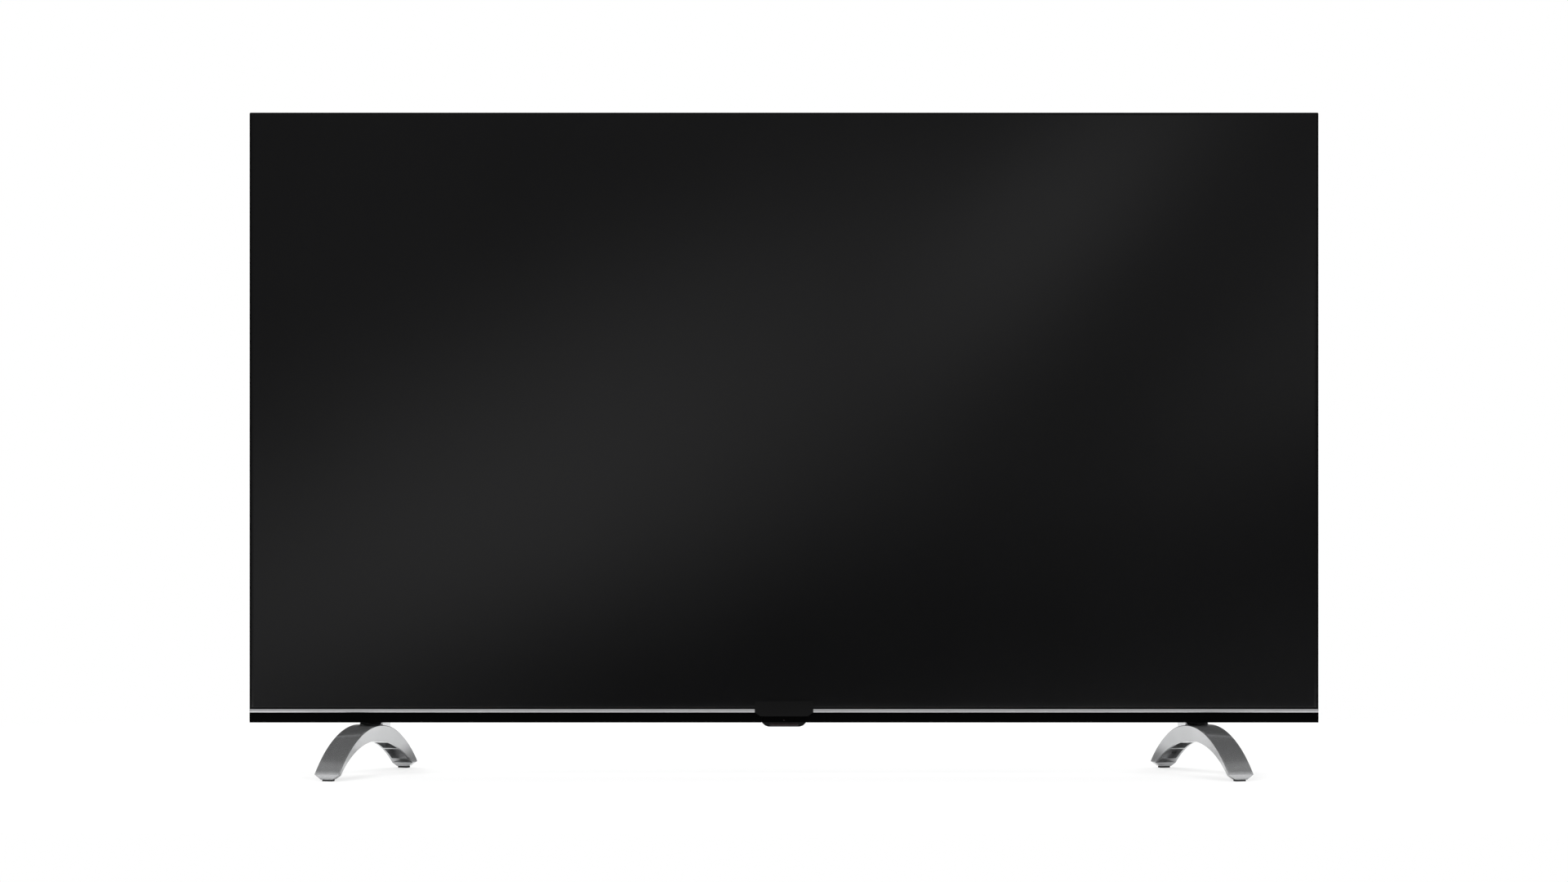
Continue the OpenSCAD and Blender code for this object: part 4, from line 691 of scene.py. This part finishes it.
def stick_knob():
    piece = merged_copy("control_stick", "stick_knob")
    low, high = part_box("control_stick")
    axis = (low + high) / 2
    grip = (high.x - low.x) / 2 * GRIP_SHARE
    bpy.ops.object.mode_set(mode="EDIT")
    bpy.ops.mesh.select_mode(type="FACE")
    bpy.ops.mesh.select_all(action="DESELECT")
    shape = bmesh.from_edit_mesh(piece.data)
    sides = [
        face for face in shape.faces
        if abs(face.normal.y) < SIDEWAYS and (face.calc_center_median().xz - axis.xz).length > grip
    ]
    sides.sort(key=lambda face: math.atan2(face.normal.z, face.normal.x))
    for face in sides[::2]:
        face.select_set(True)
    bmesh.update_edit_mesh(piece.data)
    bpy.ops.mesh.inset(thickness=FLUTE_RIM, depth=-FLUTE_DEPTH, use_individual=True)
    bpy.ops.object.mode_set(mode="OBJECT")
    soften(piece, 0.1 * mm)
    stand_for(piece, "control_stick")


stick_knob()


# Screen: one sheet, with the unlit border marked off at its sides and top

BORDER_SIDE = 2.8 * mm
BORDER_TOP = 1.2 * mm
LIP_TOP = 85.1 * mm


def screen_sheet():
    """The sheet is cut along its border, and along the lip of the bar that covers its foot."""
    low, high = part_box("lcd_panel")
    left = low.x + BORDER_SIDE
    right = high.x - BORDER_SIDE
    top = high.z - BORDER_TOP
    piece = block("screen_sheet", high - low, (low + high) / 2)
    cut_across(piece, (left, 0, 0), (1, 0, 0))
    cut_across(piece, (right, 0, 0), (1, 0, 0))
    cut_across(piece, (0, 0, top), (0, 0, 1))
    cut_across(piece, (0, 0, LIP_TOP), (0, 0, 1))
    soften(piece, 0.25 * mm)
    stand_for(piece, "lcd_panel")
    two_tone(piece, SCREEN_EDGE, lambda place: not (left < place.x < right and place.z < top))


screen_sheet()


# Studio: pale floor, soft lamps, and cards that only reflections see

FLOOR_WHITE = (0.86, 0.86, 0.86)
FLOOR_WIDTH = 7
FLOOR_DEPTH = 4
FLOOR_BACK = 1.2
SHADOW_REACH = (1.6, 1.2, 1.2)
SHADOW_VEIL = 0.72
AMBIENT = 0.35


def floor_finish():
    """Pale floor that keeps the shadow near the set and fades into the white background."""
    made = Finish("studio_floor", FLOOR_WHITE, 0.9, Specular_IOR_Level=0.1)
    fleck = made.grain(400 * mm, 2)
    made.colour(made.span(fleck, 0, 1), shade(FLOOR_WHITE, 0.99), FLOOR_WHITE)
    glow = made.add("Emission")
    rays = made.add("LightPath")
    gone = made.add("TexGradient", gradient_type="SPHERICAL")
    made.link(made.stretched(SHADOW_REACH), gone.inputs["Vector"])
    share = made.span(gone.outputs["Fac"], 1, SHADOW_VEIL, start=0, end=0.5)
    seen = made.joined(rays.outputs["Is Camera Ray"], share)
    mix = made.add("MixShader")
    made.link(seen, mix.inputs[0])
    made.link(made.shader.outputs["BSDF"], mix.inputs[1])
    made.link(glow.outputs["Emission"], mix.inputs[2])
    made.link(mix.outputs["Shader"], made.tree.nodes["Material Output"].inputs["Surface"])
    return made.material


def studio_floor():
    bpy.ops.object.select_all(action="DESELECT")
    bpy.ops.mesh.primitive_plane_add(size=1)
    floor = bpy.context.object
    floor.name = "studio_floor"
    floor.data.transform(Matrix.Diagonal((FLOOR_WIDTH, FLOOR_DEPTH, 1, 1)))
    floor.data.transform(Matrix.Translation((0, FLOOR_BACK, 0)))
    floor.data.materials.append(floor_finish())


def white_world():
    """White for the camera and for reflections, and a plain dimmer white that lights the set."""
    world = bpy.data.worlds.new("white_studio")
    scene.world = world
    world.use_nodes = True
    tree = world.node_tree
    tree.nodes.clear()
    output = add_node(tree, "OutputWorld")
    seen = add_node(tree, "Background")
    seen.inputs["Color"].default_value = (1, 1, 1, 1)
    ambient = add_node(tree, "Background")
    ambient.inputs["Color"].default_value = (1, 1, 1, 1)
    ambient.inputs["Strength"].default_value = AMBIENT
    rays = add_node(tree, "LightPath")
    straight = add_node(tree, "Math", operation="MAXIMUM")
    any_seen = add_node(tree, "Math", operation="MAXIMUM")
    mix = add_node(tree, "MixShader")
    tree.links.new(rays.outputs["Is Camera Ray"], straight.inputs[0])
    tree.links.new(rays.outputs["Is Glossy Ray"], straight.inputs[1])
    tree.links.new(straight.outputs["Value"], any_seen.inputs[0])
    tree.links.new(rays.outputs["Is Transmission Ray"], any_seen.inputs[1])
    tree.links.new(any_seen.outputs["Value"], mix.inputs[0])
    tree.links.new(ambient.outputs["Background"], mix.inputs[1])
    tree.links.new(seen.outputs["Background"], mix.inputs[2])
    tree.links.new(mix.outputs["Shader"], output.inputs["Surface"])


def card(name, place, size, turn, strength):
    """An even card of light that only reflections see, with its node tree, glow and output given back."""
    bpy.ops.object.select_all(action="DESELECT")
    bpy.ops.mesh.primitive_plane_add(size=2, location=place, rotation=turn)
    made = bpy.context.object
    made.name = name
    made.scale = (*size, 1)
    made.visible_camera = False
    made.visible_diffuse = False
    made.visible_shadow = False
    material = bpy.data.materials.new(name)
    material.use_nodes = True
    made.data.materials.append(material)
    tree = material.node_tree
    tree.nodes.clear()
    glow = add_node(tree, "Emission")
    glow.inputs["Strength"].default_value = strength
    output = add_node(tree, "OutputMaterial")
    tree.links.new(glow.outputs["Emission"], output.inputs["Surface"])
    return tree, glow, output


def soft_fade(tree, most):
    """Runs from most at a card's middle down to 0 at its rim."""
    place = add_node(tree, "TexCoord")
    fade = add_node(tree, "TexGradient", gradient_type="SPHERICAL")
    ease = add_node(tree, "MapRange", interpolation_type="SMOOTHSTEP")
    ease.inputs["To Max"].default_value = most
    tree.links.new(place.outputs["Object"], fade.inputs["Vector"])
    tree.links.new(fade.outputs["Fac"], ease.inputs["Value"])
    return ease.outputs["Result"]


def light_panel(name, place, size, turn, strength):
    """A card whose light fades towards its rim, added to what is behind it."""
    tree, glow, output = card(name, place, size, turn, strength)
    clear = add_node(tree, "BsdfTransparent")
    both = add_node(tree, "AddShader")
    tree.links.new(soft_fade(tree, strength), glow.inputs["Strength"])
    tree.links.new(clear.outputs["BSDF"], both.inputs[0])
    tree.links.new(glow.outputs["Emission"], both.inputs[1])
    tree.links.new(both.outputs["Shader"], output.inputs["Surface"])


def soft_flag(name, place, size, turn, darkness):
    """A dark card that hides what is behind it, most at its middle and not at its rim."""
    tree, glow, output = card(name, place, size, turn, 0)
    clear = add_node(tree, "BsdfTransparent")
    mix = add_node(tree, "MixShader")
    tree.links.new(soft_fade(tree, darkness), mix.inputs[0])
    tree.links.new(clear.outputs["BSDF"], mix.inputs[1])
    tree.links.new(glow.outputs["Emission"], mix.inputs[2])
    tree.links.new(mix.outputs["Shader"], output.inputs["Surface"])


def shaded_ceiling(name, height, half, middle, rim):
    """A card overhead, dim over the set and brighter to the front and the back."""
    tree, glow, _ = card(name, (0, 0, height), (half, half), (0, 0, 0), rim)
    place = add_node(tree, "TexCoord")
    split = add_node(tree, "SeparateXYZ")
    square = add_node(tree, "Math", operation="MULTIPLY")
    spread = add_node(tree, "MapRange")
    spread.inputs["To Min"].default_value = middle
    spread.inputs["To Max"].default_value = rim
    tree.links.new(place.outputs["Object"], split.inputs["Vector"])
    tree.links.new(split.outputs["Y"], square.inputs[0])
    tree.links.new(split.outputs["Y"], square.inputs[1])
    tree.links.new(square.outputs["Value"], spread.inputs["Value"])
    tree.links.new(spread.outputs["Result"], glow.inputs["Strength"])


# The screen's cards stand behind the camera, where a pixel of the screen's reflection covers CARD_PIXEL
CARD_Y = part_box("lcd_panel")[0].y - 6.006
CARD_PIXEL = 0.002
CARD_LAYER = 0.05
MIDDLE_X = 960
MIDDLE_Y = 540
EYE_Z = CAMERA_PLACE[2]


def mirrored_at(across, down, layer):
    """The place whose reflection falls on a pixel of the picture, some layers in front of the first."""
    x = (across - MIDDLE_X) * CARD_PIXEL
    z = EYE_Z + (MIDDLE_Y - down) * CARD_PIXEL
    return (x, CARD_Y + layer * CARD_LAYER, z)


def mirrored_size(across, up):
    """The size of a card whose reflection reaches so many pixels from its middle."""
    return (across * CARD_PIXEL, up * CARD_PIXEL)


def rising(degrees):
    """Upright, and tilted so that its right end rises."""
    return (math.pi / 2, -math.radians(degrees), 0)


def lamp(name, place, target, size, power):
    """A broad soft lamp that reflections don't show."""
    bpy.ops.object.select_all(action="DESELECT")
    bpy.ops.object.light_add(type="AREA", location=place)
    made = bpy.context.object
    made.name = name
    made.data.shape = "RECTANGLE"
    made.data.size, made.data.size_y = size
    made.data.energy = power
    aim = Vector(target) - Vector(place)
    made.rotation_euler = aim.to_track_quat("-Z", "Y").to_euler()
    made.visible_glossy = False


# A small dark flag stands by each rear toe, where the side of the rear leg mirrors it. It is painted shade:
# it stands in for the floor's contact shadow by the toe and darkens the rear leg's side towards its toe.
# Only reflections see it.
TOE_SHADOW_X = 0.418
TOE_SHADOW_Y = 0.114
TOE_SHADOW_Z = 0.004
TOE_SHADOW_REACH = (0.055, 0.036)
TOE_SHADOW_TURN = math.radians(63.2)
TOE_SHADOW_DARK = 0.75

studio_floor()
white_world()
card("dark_wall", (0, CARD_Y - 0.3, 0.1), (9, 2.3), UPRIGHT, 0.146)
card("rear_wall", (0, 7.5, 0.6), (9, 4), UPRIGHT, 0.3)
shaded_ceiling("dim_ceiling", height=4.4, half=4, middle=0.22, rim=0.95)
light_panel("soft_panel_wide", mirrored_at(632, 611, 1), mirrored_size(1075, 335), rising(28), 0.318)
light_panel("soft_panel_streak", mirrored_at(1323, 230, 2), mirrored_size(447, 140), rising(44.5), 0.258)
light_panel("soft_panel_right", mirrored_at(2234, -112, 3), mirrored_size(1753, 192), rising(41.3), 0.254)
soft_flag("dark_flag", mirrored_at(874, 853, 4), mirrored_size(1615, 248), rising(14.2), 0.7)
# Painted shade: dark flags by the rear toes stand in for the floor's contact shadow in the rear legs'
# reflections
for side, name in ((-1, "toe_shadow_flag_left"), (1, "toe_shadow_flag_right")):
    place = (side * TOE_SHADOW_X, TOE_SHADOW_Y, TOE_SHADOW_Z)
    soft_flag(name, place, TOE_SHADOW_REACH, (math.pi / 2, 0, -side * TOE_SHADOW_TURN), TOE_SHADOW_DARK)
lamp("key_lamp", (-2.2, -2.6, 3.2), (0, 0, 0.35), (2.4, 1.6), 130)
lamp("fill_lamp", (2.6, -2.4, 2.6), (0, 0, 0.35), (2.2, 1.8), 80)
lamp("back_lamp_left", (-2.6, 2.6, 2.6), (0, 0, 0.4), (2.2, 1.8), 125)
lamp("back_lamp_right", (2.6, 2.6, 2.2), (0, 0, 0.4), (2.2, 1.8), 65)
lamp("top_lamp", (0, 0.3, 3.6), (0, 0, 0.3), (3.2, 2.2), 90)
